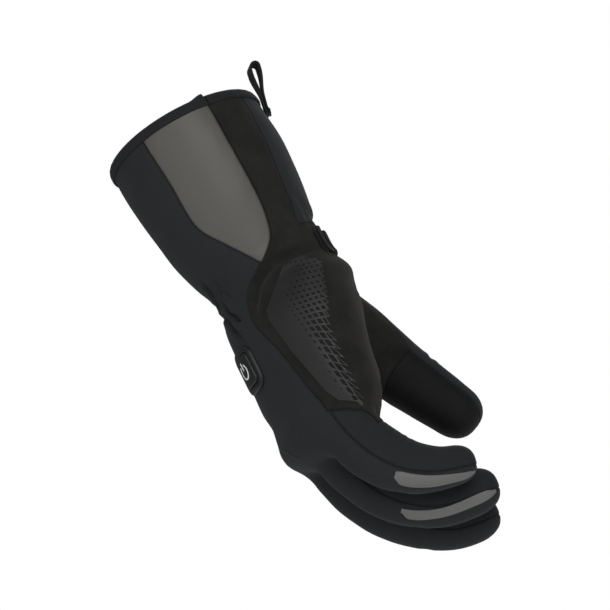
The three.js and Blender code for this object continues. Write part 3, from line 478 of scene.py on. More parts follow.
def normals_of(points, triangles):
    """Point normals: the sum of the face normals round each point, by area."""
    a, b, c = (points[triangles[:, k]] for k in range(3))
    face = np.cross(b - a, c - a)
    total = np.stack([sum(np.bincount(triangles[:, k], face[:, axis], len(points))
                          for k in range(3)) for axis in range(3)], axis=1)
    return total / np.maximum(np.linalg.norm(total, axis=1, keepdims=True), 1e-9)


def relaxed(points, edges, pulls, weight=1.0):
    """Each round moves every point towards the mean of its neighbours by a pull; a pull
    followed by a slightly larger push smooths without shrinking."""
    count = np.bincount(edges.ravel(), minlength=len(points))[:, None]
    for pull in pulls:
        total = np.stack([
            np.bincount(edges[:, 0], points[edges[:, 1], axis], len(points))
            + np.bincount(edges[:, 1], points[edges[:, 0], axis], len(points))
            for axis in range(3)], axis=1)
        points = points + pull * weight * (total / count - points)
    return points


def clipped(data, triangles, field):
    """Part of a mesh where a field is positive. Each crossed edge gets one new point, where the
    field, read in straight steps, is nought; data holds all columns of the points."""
    inside = field > 0
    count = inside[triangles].sum(axis=1)
    kept = [triangles[count == 3]]
    new_low, new_high, base = [], [], len(data)
    for inner in (1, 2):
        some = triangles[count == inner]
        if not len(some):
            continue
        odd = inside[some] if inner == 1 else ~inside[some]
        first = odd.argmax(axis=1)
        rows = np.arange(len(some))
        a, b, c = (some[rows, (first + k) % 3] for k in range(3))
        mark = base + 2 * rows
        new_low.append(np.stack([a, a], axis=1).ravel())
        new_high.append(np.stack([b, c], axis=1).ravel())
        base += 2 * len(some)
        if inner == 1:
            kept.append(np.stack([a, mark, mark + 1], axis=1))
        else:
            kept += [np.stack([mark, b, c], axis=1), np.stack([mark, c, mark + 1], axis=1)]
    triangles = np.concatenate(kept)
    if new_low:
        low, high = np.concatenate(new_low), np.concatenate(new_high)
        swap = low > high
        low, high = np.where(swap, high, low), np.where(swap, low, high)
        pairs, back = np.unique(low.astype(np.int64) * len(data) + high, return_inverse=True)
        a, b = pairs // len(data), pairs % len(data)
        t = (field[a] / (field[a] - field[b]))[:, None]
        renamed = np.concatenate([np.arange(len(data)), len(data) + back.ravel()])
        triangles = renamed[triangles]
        data = np.concatenate([data, data[a] * (1 - t) + data[b] * t])
    used, triangles = np.unique(triangles, return_inverse=True)
    return data[used], triangles.reshape(-1, 3)


def open_edges(triangles):
    """Directed edges that no neighbour shares."""
    directed = np.concatenate([triangles[:, [0, 1]], triangles[:, [1, 2]], triangles[:, [2, 0]]])
    size = int(triangles.max()) + 1
    key = directed[:, 0].astype(np.int64) * size + directed[:, 1]
    back = directed[:, 1].astype(np.int64) * size + directed[:, 0]
    return directed[~np.isin(key, back)]


def run_on(points, normals, triangles, reach):
    """Points with those of the open edge moved on past it: along the cross product of the
    edge's direction and the normal there."""
    rim = open_edges(triangles)
    away = np.cross(points[rim[:, 1]] - points[rim[:, 0]], normals[rim[:, 0]])
    total = np.stack([np.bincount(rim.ravel(), np.repeat(away[:, axis], 2), len(points))
                      for axis in range(3)], axis=1)
    return points + reach * total / np.maximum(np.linalg.norm(total, axis=1, keepdims=True), 1e-6)


def thickened(outer, inner, triangles):
    """Closed sheet between an outer and an inner surface of the same triangles."""
    count = len(outer)
    rim = open_edges(triangles)
    wall = np.stack([rim[:, 1], rim[:, 0], rim[:, 0] + count, rim[:, 1] + count], axis=1)
    return np.concatenate([outer, inner]), [triangles, triangles[:, ::-1] + count, wall]


def grid_triangles(rows, columns):
    r, c = np.meshgrid(np.arange(rows - 1), np.arange(columns - 1), indexing="ij")
    a = (r * columns + c).ravel()
    return np.concatenate([np.stack([a, a + 1, a + columns + 1], axis=1),
                           np.stack([a, a + columns + 1, a + columns], axis=1)])


def new_object(name, points, faces, material, uv=None, columns=None, inner=None, sharp=50.0):
    """Object of points in millimetres. Its faces are smooth but for edges sharper than an angle;
    uv holds one pair for each point, or for each face corner; inner gives a second material and
    the faces that take it."""
    mesh = bpy.data.meshes.new(name)
    rows = [face for part in faces for face in part.tolist()]
    mesh.from_pydata((points * MM).tolist(), [], rows)
    mesh.materials.append(material)
    if inner is not None:
        mesh.materials.append(inner[0])
        mesh.polygons.foreach_set("material_index", inner[1].astype(np.int32))
    mesh.shade_smooth()
    mesh.set_sharp_from_angle(angle=sharp * DEGREE)
    if uv is not None:
        if len(uv) == len(points):
            corner = np.zeros(len(mesh.loops), np.int32)
            mesh.loops.foreach_get("vertex_index", corner)
            uv = uv[corner]
        layer = mesh.uv_layers.new(name="cloth")
        layer.data.foreach_set("uv", (uv * MM).astype(np.float32).ravel())
    for key, value in (columns or {}).items():
        attribute = mesh.attributes.new(key, "FLOAT", "POINT")
        attribute.data.foreach_set("value", value.astype(np.float32))
    obj = bpy.data.objects.new(name, mesh)
    bpy.context.scene.collection.objects.link(obj)
    return obj


def dress(obj, slot, *nodes):
    """The piece rides on the glove and stands for its nodes of the frame; its slot is not used."""
    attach(obj, "root")
    if nodes:
        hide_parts(*nodes)
    return obj


def lay_sheet(piece, width, length, held, *rests_on):
    """Works out a flat size in millimetres and keeps nothing; the piece is not used. The blank of a
    strip under 10 mm is given as 10 mm wide, with the strip's own area."""
    flat = (max(width, 10.0) * MM, max(length, 10.0) * MM)
    width * length * MM * MM


def rounded_section(width, thick, corner, steps=3):
    """Closed outline of a flat band: a rectangle whose corners are quarter circles."""
    turn = np.linspace(0, 90, steps + 1) * DEGREE
    half = np.array([width, thick]) / 2 - corner
    parts = []
    for k, sign in enumerate(((1, 1), (-1, 1), (-1, -1), (1, -1))):
        spin = turn + k * math.pi / 2
        parts.append(np.stack([np.cos(spin), np.sin(spin)], axis=1) * corner + half * sign)
    return np.concatenate(parts)


# Creases


def crease_lines():
    lines = []
    for form, rows, depth, breadth in CREASES:
        turn, place = np.array(rows, float).T
        line = body_point(turn, place) if form == "body" else digit_point(DIGITS[form], place, turn)
        lines.append((line, depth, breadth))
    return lines


CREASE_LINES = crease_lines()


def line_distance(points, line):
    """Distance of points from a broken line, and their share along it."""
    best = np.full(len(points), np.inf)
    share = np.zeros(len(points))
    total = len(line) - 1
    for k in range(total):
        run = line[k + 1] - line[k]
        t = np.clip(((points - line[k]) @ run) / (run @ run), 0, 1)
        far = np.linalg.norm(points - line[k] - t[:, None] * run, axis=1)
        closer = far < best
        best = np.where(closer, far, best)
        share = np.where(closer, (k + t) / total, share)
    return best, share


def crease_height(points):
    """Height of the cloth over its plain form: each crease is a valley that falls off with the
    square of the distance from its line, with a lower ridge on either side, and fades at its
    ends; long slow waves lie under all of them."""
    height = np.zeros(len(points))
    for line, depth, breadth in CREASE_LINES:
        middle = line.mean(axis=0)
        reach = np.linalg.norm(line - middle, axis=1).max() + 5 * breadth
        near = np.linalg.norm(points - middle, axis=1) < reach
        if not near.any():
            continue
        far, share = line_distance(points[near], line)
        fade = np.clip(1.15 - np.abs(2 * share - 1) ** 3, 0, 1)
        valley = np.exp(-((far / breadth) ** 2))
        ridge = np.exp(-(((far - 2 * breadth) / breadth) ** 2))
        height[near] += fade * depth * (0.4 * ridge - valley)
    x, y, z = points.T
    slow = (np.sin(0.13 * z + 0.09 * y + 1.1) * np.sin(0.11 * y - 0.07 * x + 0.4)
            + 0.6 * np.sin(0.21 * z - 0.12 * x + 2.0) * np.sin(0.17 * x + 0.15 * y))
    wide = smooth_step((z + 300) / 40)
    return height + 0.16 * slow * wide


# Seams


def seam_curve(rows, count, last=None):
    """Smooth line through seam rows, as x and z in millimetres."""
    end = rows[-1, 0] if last is None else last
    down = np.linspace(rows[0, 0], end, count)
    ahead = read_rows(rows[:, 0], rows[:, 1:], down)[:, 0]
    return np.stack([ahead * MOUTH_DEPTH, -down * GLOVE_DROP], axis=1)


def side_points(rows):
    return np.array([(ahead * MOUTH_DEPTH, -down * GLOVE_DROP) for down, ahead in rows])


def outline_distance(points, normals, outline):
    """Distance of points from an outline seen from the side, positive inside it. It is divided
    by how much the surface is turned out of that view, so it is measured along the cloth."""
    seen = points[:, [0, 2]]
    low, high = outline, np.roll(outline, -1, axis=0)
    best = np.full(len(seen), np.inf)
    normal = np.zeros((len(seen), 2))
    inside = np.zeros(len(seen), bool)
    for a, b in zip(low, high):
        run = b - a
        t = np.clip(((seen - a) @ run) / (run @ run), 0, 1)
        far = np.linalg.norm(seen - a - t[:, None] * run, axis=1)
        closer = far < best
        best[closer] = far[closer]
        normal[closer] = np.array([run[1], -run[0]]) / np.linalg.norm(run)
        above = (a[1] > seen[:, 1]) != (b[1] > seen[:, 1])
        if above.any():
            crossing = a[0] + (seen[:, 1] - a[1]) / (b[1] - a[1] + 1e-12) * (b[0] - a[0])
            inside ^= above & (seen[:, 0] < crossing)
    toward = normal[:, 0] * normals[:, 0] + normal[:, 1] * normals[:, 2]
    along = np.sqrt(np.clip(1 - toward**2, 0.15, 1))
    return np.where(inside, best, -best) / along


def plane_distance(value, direction, normals):
    """Distance from a plane, measured along the cloth."""
    toward = (direction * normals).sum(axis=1)
    return value / np.sqrt(np.clip(1 - toward**2, 0.15, 1))


def palm_outline():
    edge = seam_curve(PALM_EDGE, 8)
    corner = side_points([(PALM_EDGE[-1, 0], FAR_AHEAD), (SIDE_SEAM[0, 0], FAR_AHEAD)])
    return np.concatenate([seam_curve(SIDE_SEAM, 70), edge, corner])


def panel_outline():
    return np.concatenate([seam_curve(SIDE_SEAM, 40, SEAM_ROWS_OF_PANEL),
                           seam_curve(PANEL_EDGE, 30)[::-1][1:]])


def gusset_outline():
    corner = side_points([(GUSSET_EDGE[-1, 0], FAR_AHEAD), (GUSSET_EDGE[0, 0], FAR_AHEAD)])
    return np.concatenate([seam_curve(GUSSET_EDGE, 30), corner])


# The outer form


def form_tubes():
    """The cuff and hand and the five digits as closed tubes, finely divided."""
    turns = np.linspace(0, 360, 200, endpoint=False)
    top, floor, edge = 4.0, -GLOVE_DROP, 9.0
    heights = np.concatenate([np.linspace(top, floor + edge, 190),
                              floor + edge - edge * np.sin(np.linspace(0, 90, 9)[1:] * DEGREE)])
    shrink = np.clip(floor + edge - heights, 0, edge)
    grow = np.sqrt(np.clip(edge**2 - shrink**2, 0, None)) - edge
    body = body_point(turns[None, :], heights[:, None], np.where(shrink > 0, grow, 0)[:, None])
    along = np.concatenate([np.linspace(0, TIP_START, 90, endpoint=False),
                            TIP_START + (1 - TIP_START) * np.sin(np.linspace(0, 90, 24) * DEGREE)])
    rings = [body] + [digit_point(digit, along[:, None], turns[None, ::2])
                      for digit in DIGITS.values()]
    return joined([tube(ring) for ring in rings])


def remeshed(points, faces, size):
    """Even skin over closed forms that run through each other, at a mesh size."""
    mesh = bpy.data.meshes.new("blank")
    mesh.from_pydata((points * MM).tolist(), [], [f for part in faces for f in part.tolist()])
    blank = bpy.data.objects.new("blank", mesh)
    bpy.context.scene.collection.objects.link(blank)
    remesh = blank.modifiers.new("even", "REMESH")
    remesh.mode = "VOXEL"
    remesh.voxel_size = size * MM
    graph = bpy.context.evaluated_depsgraph_get()
    skin = blank.evaluated_get(graph).to_mesh()
    co = np.zeros(len(skin.vertices) * 3, np.float32)
    skin.vertices.foreach_get("co", co)
    corner = np.zeros(len(skin.loops), np.int32)
    skin.loops.foreach_get("vertex_index", corner)
    if len(corner) != 4 * len(skin.polygons):
        raise RuntimeError("the even skin should hold four-sided faces alone")
    quads = corner.reshape(-1, 4)
    bpy.data.objects.remove(blank)
    return co.reshape(-1, 3).astype(float) / MM, triangles_of([quads])


def glove_form(size):
    """Outer form of the glove as points, triangles and normals: the tubes' common skin,
    smoothed all over and more so in the forks, where two forms meet."""
    points, triangles = remeshed(*form_tubes(), size)
    edges = edges_of(triangles)
    points = relaxed(points, edges, [0.5, -0.52] * 6)
    turn, ratio = body_place(points)
    near = [np.abs(ratio - 1) * WRIST_WIDTH / 2]
    for digit in DIGITS.values():
        ratio = digit_place(digit, points)[3]
        near.append(np.abs(ratio - 1) * FINGER_WIDTH / 2)
    near = np.sort(np.stack(near), axis=0)
    fork = smooth_step(1 - near[1] / 7)[:, None]
    points = relaxed(points, edges, [0.6] * 30, fork)
    x, _, z = points.T
    knuckle = smooth_step(1 - np.abs(z + KNUCKLE_DROP) / 15) * smooth_step((-x - 4) / 10)
    points = relaxed(points, edges, [0.6] * 70, knuckle[:, None])
    points = relaxed(points, edges, [0.5, -0.52] * 3)
    return points, triangles, normals_of(points, triangles)


def cloth_pieces(size, gap):
    """Shares the glove's form out among its cloths. Each is cut from what the earlier ones
    left, along a field that is positive on it; half a gap is left on both sides of the line.
    Columns of a piece: point, normal, then its distance from every seam met so far."""
    points, triangles, normals = glove_form(size)
    digit = {name: digit_place(DIGITS[name], points) for name in DIGITS}
    mm_of = {name: DIGITS[name]["length"] for name in DIGITS}

    along, front, across, ratio, station = digit["thumb"]
    turn = THUMB_BACK_TURN * DEGREE
    out = math.cos(turn) * front + math.sin(turn) * across
    facing = (math.cos(turn) * DIGITS["thumb"]["front"][station]
              + math.sin(turn) * DIGITS["thumb"]["across"][station])
    split = plane_distance(out - THUMB_SEAM_OFF, facing, normals)
    on_thumb = (1.25 - ratio) * FINGER_WIDTH
    bow = 5 * np.clip(np.abs(across) / 16, 0, 1) ** 2
    fields = [
        ("thumb_back", np.minimum.reduce([
            ((along - THUMB_BACK_START) * mm_of["thumb"] + THUMB_BACK_SLANT * split)
            / THUMB_BACK_SLANT, split, on_thumb])),
        ("thumb_front", np.minimum.reduce([
            (along - THUMB_FRONT_START) * mm_of["thumb"] + bow, -split, on_thumb])),
        ("cuff_gusset", np.minimum(outline_distance(points, normals, gusset_outline()),
                                   points[:, 0])),
        ("palm_shell", outline_distance(points, normals, palm_outline())),
        ("reflective_panel", np.minimum(outline_distance(points, normals, panel_outline()),
                                        -points[:, 1])),
    ]
    ratios = np.stack([digit[name][3] for name in FINGER_NAMES])
    for k, name in enumerate(FINGER_NAMES):
        along, front, across, ratio, station = digit[name]
        others = np.delete(ratios, k, axis=0).min(axis=0)
        own = (others - ratio) * FINGER_WIDTH / 4
        ahead = plane_distance(front + SEAM_BEHIND, DIGITS[name]["front"][station], normals)
        fields.append((f"{name}_finger_front", np.minimum.reduce([
            ahead, (along - FRONT_START) * mm_of[name], own])))

    columns = np.stack([field for _, field in fields], axis=1)
    data = np.concatenate([points, normals, columns], axis=1)
    data, triangles = clipped(data, triangles, -RIM_LINE - data[:, 2])
    pieces = {}
    for k, (name, _) in enumerate(fields):
        pieces[name] = (*clipped(data, triangles, data[:, 6 + k] - gap / 2), k + 1)
        data, triangles = clipped(data, triangles, -data[:, 6 + k] - gap / 2)
    pieces["back_shell"] = (data, triangles, len(fields))
    return pieces


# Cloth in millimetres for each degree round the cuff and hand, and round a digit
BODY_GRAIN, DIGIT_GRAIN = 0.85, 0.25


def cloth_grain(points, triangles):
    """Pattern coordinates of the cloth in millimetres for each corner: round the form and down
    it, both from the form that the triangle's first corner lies on."""
    ratios, places = [], []
    turn, ratio = body_place(points)
    ratios.append(np.abs(ratio - 1) * 1.6)
    places.append(np.stack([turn * BODY_GRAIN, -points[:, 2]], axis=1))
    for name, digit in DIGITS.items():
        along, front, across, ratio, _ = digit_place(digit, points)
        ratios.append(np.abs(ratio - 1) + np.where(along < 0.02, 9, 0))
        around = np.arctan2(front, -across) / DEGREE
        places.append(np.stack([around * DIGIT_GRAIN, along * digit["length"]], axis=1))
    owner = np.argmin(np.stack(ratios), axis=0)
    places = np.stack(places)
    grain = places[owner[triangles[:, 0]][:, None], triangles]
    whole = np.array([BODY_GRAIN] + [DIGIT_GRAIN] * len(DIGITS)) * 360
    whole = whole[owner[triangles[:, 0]]][:, None]
    drift = grain[:, :, 0] - grain[:, :1, 0]
    grain[:, :, 0] -= whole * np.round(drift / whole)
    return grain


# Materials


class Value:
    """A number that changes over the surface; sums on it add Math nodes."""

    def __init__(self, board, socket):
        self.board, self.socket = board, socket

    def _math(self, operation, *others, first=True):
        values = (self, *others) if first else (*others, self)
        return self.board.math(operation, *values)

    def __add__(self, other):
        return self._math("ADD", other)

    __radd__ = __add__

    def __mul__(self, other):
        return self._math("MULTIPLY", other)

    __rmul__ = __mul__

    def __sub__(self, other):
        return self._math("SUBTRACT", other)

    def __rsub__(self, other):
        return self._math("SUBTRACT", other, first=False)


class Board:
    """Node tree of one material."""

    def __init__(self, name):
        self.material = bpy.data.materials.new(name)
        self.material.use_nodes = True
        self.tree = self.material.node_tree
        self.tree.nodes.clear()

    def node(self, kind, settings=None, **inputs):
        """Adds a node, its settings first, then the values or links of its sockets."""
        node = self.tree.nodes.new(kind)
        for key, value in (settings or {}).items():
            setattr(node, key, value)
        for key, value in inputs.items():
            name = int(key[1:]) if key[0] == "s" and key[1:].isdigit() else key.replace("_", " ")
            socket = node.inputs[name]
            if isinstance(value, Value):
                self.tree.links.new(value.socket, socket)
            elif isinstance(value, bpy.types.NodeSocket):
                self.tree.links.new(value, socket)
            else:
                socket.default_value = value
        return node

    def math(self, operation, *values):
        inputs = {f"s{k}": value for k, value in enumerate(values)}
        node = self.node("ShaderNodeMath", {"operation": operation}, **inputs)
        return Value(self, node.outputs[0])

    def sin(self, value):
        return self.math("SINE", value)

    def place(self, kind="Object", scale=(1, 1, 1), turn=(0, 0, 0)):
        source = self.node("ShaderNodeTexCoord").outputs[kind]
        return self.node("ShaderNodeMapping", Vector=source, Scale=scale, Rotation=turn).outputs[0]

    def noise(self, vector, scale, detail=2.0, rough=0.5):
        node = self.node("ShaderNodeTexNoise", Vector=vector, Scale=scale, Detail=detail,
                         Roughness=rough)
        return Value(self, node.outputs[0])

    def attribute(self, name):
        node = self.node("ShaderNodeAttribute", {"attribute_name": name})
        return Value(self, node.outputs["Fac"])

    def parts(self, vector):
        node = self.node("ShaderNodeSeparateXYZ", Vector=vector)
        return [Value(self, socket) for socket in node.outputs]

    def mix(self, factor, low, high):
        node = self.node("ShaderNodeMix", {"data_type": "RGBA"}, s0=factor)
        for socket, value in ((node.inputs[6], low), (node.inputs[7], high)):
            if isinstance(value, bpy.types.NodeSocket):
                self.tree.links.new(value, socket)
            else:
                socket.default_value = value
        return node.outputs[2]

    def bump(self, height, strength, distance, below=None):
        node = self.node("ShaderNodeBump", Height=height, Strength=strength, Distance=distance)
        if below is not None:
            self.tree.links.new(below, node.inputs["Normal"])
        return node.outputs[0]

    def finish(self, **inputs):
        """Surface of the material, by the names of its shader's sockets."""
        shader = self.node("ShaderNodeBsdfPrincipled", **inputs)
        self.node("ShaderNodeOutputMaterial", Surface=shader.outputs[0])
        return self.material


def shade(colour, factor):
    return (*(channel * factor for channel in colour[:3]), 1.0)


def woven(board, pitch):
    """Height of a plain weave: the product of two waves across each other, one for each
    thread direction, along the cloth's own coordinates."""
    u, v, _ = board.parts(board.place("UV"))
    wave = 2 * math.pi / (pitch * MM)
    return board.sin(u * wave) * board.sin(v * wave)


def cloth_material(name, colour, rough=0.85, sheen=0.04, pitch=0.9, weave=0.25, seam=True):
    """Softshell, tape and webbing: a fine weave, mottled a little, with painted shade darkening its
    seams.
    """
    board = Board(name)
    place = board.place()
    mottle = board.noise(place, 45, 3, 0.55)
    fuzz = board.noise(place, 1800, 2, 0.6)
    threads = woven(board, pitch)
    tone = board.mix(mottle, shade(colour, 0.78), shade(colour, 1.2))
    tone = board.mix(fuzz * 0.55, tone, shade(colour, 0.7))
    # painted shade: the cloth is darkened along its seams, standing in for the shade in the seam
    # groove
    if seam:
        tone = board.mix(board.attribute("near_seam") * 0.75, tone, shade(colour, 0.25))
    fine = board.bump(threads * 0.5 + fuzz * 0.8, weave, 0.0002)
    soft = board.bump(board.noise(place, 160, 3, 0.5), 0.12, 0.0012, fine)
    return board.finish(
        Base_Color=tone, Roughness=mottle * 0.12 + (rough - 0.06), Normal=soft,
        Sheen_Weight=sheen, Sheen_Roughness=0.5, Sheen_Tint=(0.75, 0.8, 0.9, 1),
        Specular_IOR_Level=0.15)


def suede_material(name, colour):
    """Brushed suede: short nap in soft clouds, with a fine leather grain below."""
    board = Board(name)
    place = board.place()
    cloud = board.noise(place, 60, 4, 0.6) * 2.2 - 0.6
    streak = board.noise(board.place("Object", (1, 1, 0.35)), 320, 2, 0.5)
    nap = board.noise(place, 2400, 2, 0.7)
    tone = board.mix(cloud, shade(colour, 0.5), shade(colour, 1.5))
    tone = board.mix(streak * 0.5, tone, shade(colour, 0.7))
    tone = board.mix(nap * 0.4, tone, shade(colour, 0.6))
    # painted shade darkening the suede along its seams
    tone = board.mix(board.attribute("near_seam") * 0.75, tone, shade(colour, 0.25))
    fine = board.bump(nap, 0.35, 0.0003)
    soft = board.bump(cloud * 0.5 + streak * 0.5, 0.12, 0.001, fine)
    return board.finish(Base_Color=tone, Roughness=0.93, Normal=soft, Sheen_Weight=0.04,
                        Sheen_Roughness=0.6, Sheen_Tint=(0.95, 0.9, 0.8, 1),
                        Specular_IOR_Level=0.1)


def reflective_material(name, colour):
    """Reflective cloth: a satin coat of fine beads over a tight weave, with dull patches."""
    board = Board(name)
    place = board.place()
    cloud = board.noise(place, 28, 3, 0.6)
    grit = board.noise(place, 2600, 2, 0.7)
    streak = board.noise(board.place("Object", (1, 1, 0.15)), 140, 2, 0.5)
    threads = woven(board, 0.7)
    tone = board.mix(cloud, shade(colour, 0.9), shade(colour, 1.1))
    tone = board.mix(streak * 0.25, tone, shade(colour, 0.8))
    tone = board.mix(grit * 0.35, tone, shade(colour, 0.8))
    # painted shade darkening the reflective cloth along its seams
    tone = board.mix(board.attribute("near_seam") * 0.6, tone, shade(colour, 0.35))
    fine = board.bump(threads * 0.4 + grit, 0.15, 0.00015)
    soft = board.bump(cloud, 0.08, 0.002, fine)
    return board.finish(Base_Color=tone, Roughness=cloud * 0.1 + 0.5, Metallic=0.12, Normal=soft,
                        Specular_IOR_Level=0.4)


def print_material(name, colour):
    """Silicone print: satin, dulled in places, with fine pits; towards its palm edge and down the
    hand it is painted paler, a painted highlight."""
    board = Board(name)
    place = board.place()
    cloud = board.noise(place, 55, 3, 0.6)
    pits = board.noise(place, 1500, 2, 0.5)
    tone = board.mix(cloud, shade(colour, 0.7), shade(colour, 1.25))
    # painted highlight: the print turns paler towards its palm edge and down the hand
    tone = board.mix(board.attribute("to_palm"), tone, shade(colour, 3.4))
    fine = board.bump(pits * 0.6 + cloud * 0.4, 0.15, 0.0003)
    return board.finish(Base_Color=tone, Roughness=cloud * 0.16 + 0.52, Normal=fine,
                        Specular_IOR_Level=0.22)


def rubber_material(name, colour, rough=0.5):
    """Moulded rubber: even and satin, with a fine moulded grain."""
    board = Board(name)
    place = board.place()
    grain = board.noise(place, 1300, 2, 0.5)
    cloud = board.noise(place, 110, 3, 0.6)
    tone = board.mix(cloud, shade(colour, 0.86), shade(colour, 1.12))
    fine = board.bump(grain, 0.12, 0.0003)
    return board.finish(Base_Color=tone, Roughness=cloud * 0.12 + (rough - 0.06), Normal=fine,
                        Specular_IOR_Level=0.35)


def lining_material(name, colour):
    """Brushed fleece lining: soft clumps of pile."""
    board = Board(name)
    place = board.place()
    clumps = board.noise(place, 520, 3, 0.6)
    pile = board.noise(place, 2200, 2, 0.7)
    tone = board.mix(clumps, shade(colour, 0.6), shade(colour, 1.3))
    fine = board.bump(pile * 0.5 + clumps, 0.4, 0.0006)
    return board.finish(Base_Color=tone, Roughness=0.95, Normal=fine, Sheen_Weight=0.1,
                        Sheen_Roughness=0.6, Specular_IOR_Level=0.1)


def paint_material(name, colour):
    """Printed mark: a thin, slightly worn ink."""
    board = Board(name)
    wear = board.noise(board.place(), 900, 3, 0.6)
    tone = board.mix(wear, shade(colour, 0.8), shade(colour, 1.0))
    return board.finish(Base_Color=tone, Roughness=wear * 0.2 + 0.4)


# Sizes and colours that a user would change


def colour_property(name, text, default):
    return FloatVectorProperty(name=name, description=text, subtype="COLOR", size=3,
                               min=0, max=1, default=default)


def length_property(name, text, default, low=0.0, high=0.1):
    return FloatProperty(name=name, description=text, default=default * MM, min=low, max=high,
                         subtype="DISTANCE", unit="LENGTH")


class GloveSizes(bpy.types.PropertyGroup):
    mesh: length_property("Mesh size", "Edge length of the cloth's mesh", 1.2, 0.0006, 0.005)
    wall: length_property("Wall", "Outer cloth, padding and lining together", 2.7)
    seam_gap: length_property("Seam gap", "Slit between two cloths", 0.18)
    seam_depth: length_property("Seam depth", "How far the cloth dips into a seam", 0.6)
    seam_roll: length_property("Seam roll", "Breadth of the rolled edge along a seam", 0.85)
    film: length_property("Film", "Thickness of the grip print", 0.4)
    lattice: length_property("Lattice pitch", "Distance between holes of the grip print", 3.1)
    tape: length_property("Tape", "Thickness of the reflective tapes", 0.35)
    strap: length_property("Strap", "Thickness of the wrist strap", 1.3)


class GloveColours(bpy.types.PropertyGroup):
    softshell: colour_property("Softshell", "Back and cuff", (0.0148, 0.0164, 0.0179))
    finger: colour_property("Finger fronts", "Front cloth of the fingers", (0.0128, 0.0142, 0.0150))
    suede: colour_property("Suede", "Palm and side strip", (0.0120, 0.0119, 0.0112))
    # The thumb front's near-black is partly its own darker cloth and partly painted shade of the
    # thumb's underside.
    thumb: colour_property("Thumb front", "Smooth cloth of the thumb", (0.0040, 0.0041, 0.0041))
    reflective: colour_property("Reflective", "Panel of the cuff", (0.0650, 0.0612, 0.0543))
    seam_tape: colour_property("Seam tape", "Tapes of two fingers", (0.106, 0.105, 0.100))
    tape: colour_property("Binding", "Folded tape round the mouth", (0.0115, 0.0118, 0.0128))
    webbing: colour_property("Webbing", "Strap and pull loop", (0.0115, 0.0115, 0.0115))
    print: colour_property("Grip print", "Silicone on the heel of the hand",
                           (0.0094, 0.0094, 0.0094))
    rubber: colour_property("Button", "Control button", (0.0032, 0.0034, 0.0036))
    lining: colour_property("Lining", "Fleece inside", (0.03, 0.03, 0.031))
    floor: colour_property("Floor", "Ground under the glove", (0.86, 0.86, 0.86))


def sizes():
    """Sizes in millimetres."""
    values = bpy.context.scene.glove_sizes
    return {key: getattr(values, key) / MM for key in GloveSizes.__annotations__}


def colour(key):
    return tuple(getattr(bpy.context.scene.glove_colours, key))


def material(key):
    """Material of a finish, made once."""
    name = f"glove_{key}"
    if name in bpy.data.materials:
        return bpy.data.materials[name]
    made = {
        "softshell": lambda: cloth_material(name, colour("softshell")),
        "finger": lambda: cloth_material(name, colour("finger")),
        "suede": lambda: suede_material(name, colour("suede")),
        # thumb front: its own darker cloth, darkened further with painted shade of the underside
        "thumb": lambda: cloth_material(name, colour("thumb"), 0.7, 0.02, 0.6, 0.15),
        "reflective": lambda: reflective_material(name, colour("reflective")),
        "seam_tape": lambda: reflective_material(name, colour("seam_tape")),
        "tape": lambda: cloth_material(name, colour("tape"), 0.8, 0.03, 1.1, 0.5, False),
        "webbing": lambda: cloth_material(name, colour("webbing"), 0.75, 0.03, 1.3, 0.7, False),
        "print": lambda: print_material(name, colour("print")),
        "rubber": lambda: rubber_material(name, colour("rubber")),
        "pad": lambda: rubber_material(name, shade(colour("rubber"), 1.3)[:3], 0.5),
        "lining": lambda: lining_material(name, colour("lining")),
        "thread": lambda: cloth_material(name, (0.014, 0.014, 0.015), 0.7, 0.05, 0.5, 0.4, False),
        "mark": lambda: paint_material(name, (0.75, 0.76, 0.78)),
    }
    return made[key]()


# Operators


CLOTHS = {
    "back_shell": ("softshell", "softshell"), "cuff_gusset": ("softshell", "softshell"),
    "palm_shell": ("suede", "suede"), "reflective_panel": ("reflective", "reflective"),
    "little_finger_front": ("finger", "softshell"),
    "ring_finger_front": ("finger", "softshell"),
    "middle_finger_front": ("finger", "softshell"),
    "index_finger_front": ("finger", "softshell"),
    "thumb_back": ("softshell", "softshell"), "thumb_front": ("thumb", "black_cloth"),
}


class GLOVE_OT_cloths(bpy.types.Operator):
    """Sews the padded cloths of the cuff, hand, fingers and thumb"""

    bl_idname = "glove.cloths"
    bl_label = "Cloths"

    def execute(self, context):
        size = sizes()
        for name, (data, triangles, seams) in cloth_pieces(size["mesh"], size["seam_gap"]).items():
            points, normals = data[:, :3], data[:, 3:6]
            normals = normals / np.maximum(np.linalg.norm(normals, axis=1, keepdims=True), 1e-9)
            seam = np.abs(data[:, 6:6 + seams]).min(axis=1)
            seam = np.clip(seam - size["seam_gap"] / 2, 0, None)
            roll = np.clip(1 - seam / size["seam_roll"], 0, 1)
            dip = size["seam_depth"] * (1 - np.sqrt(np.clip(1 - roll**2, 0, 1)))
            puff = 0.3 * np.exp(-((seam / 5) ** 2))
            height = crease_height(points) - dip - puff
            outer = points + normals * height[:, None]
            inner = run_on(points - normals * size["wall"], normals, triangles, 0.4)
            grain = cloth_grain(points, triangles)
            # painted seam shade: how strongly the materials darken the cloth beside a seam, falling
            # off within about half a millimetre
            near = np.exp(-((seam / 0.55) ** 2))
            solid, faces = thickened(outer, inner, triangles)
            rim = len(faces[2])
            corners = np.concatenate([
                grain.reshape(-1, 2), grain[:, ::-1].reshape(-1, 2), np.zeros((4 * rim, 2))])
            inside = np.concatenate([np.zeros(len(triangles)), np.ones(len(triangles) + rim)])
            finish, slot = CLOTHS[name]
            piece = new_object(f"{name}_cloth", solid, faces, material(finish), corners,
                               {"near_seam": np.concatenate([near, near])},
                               (material("lining"), inside))
            dress(piece, slot, name)
        return {"FINISHED"}


def print_foot(drop):
    """Share of the way to the foot of the grip print, from the drop below the mouth."""
    return smooth_step((drop - 140) / 45)


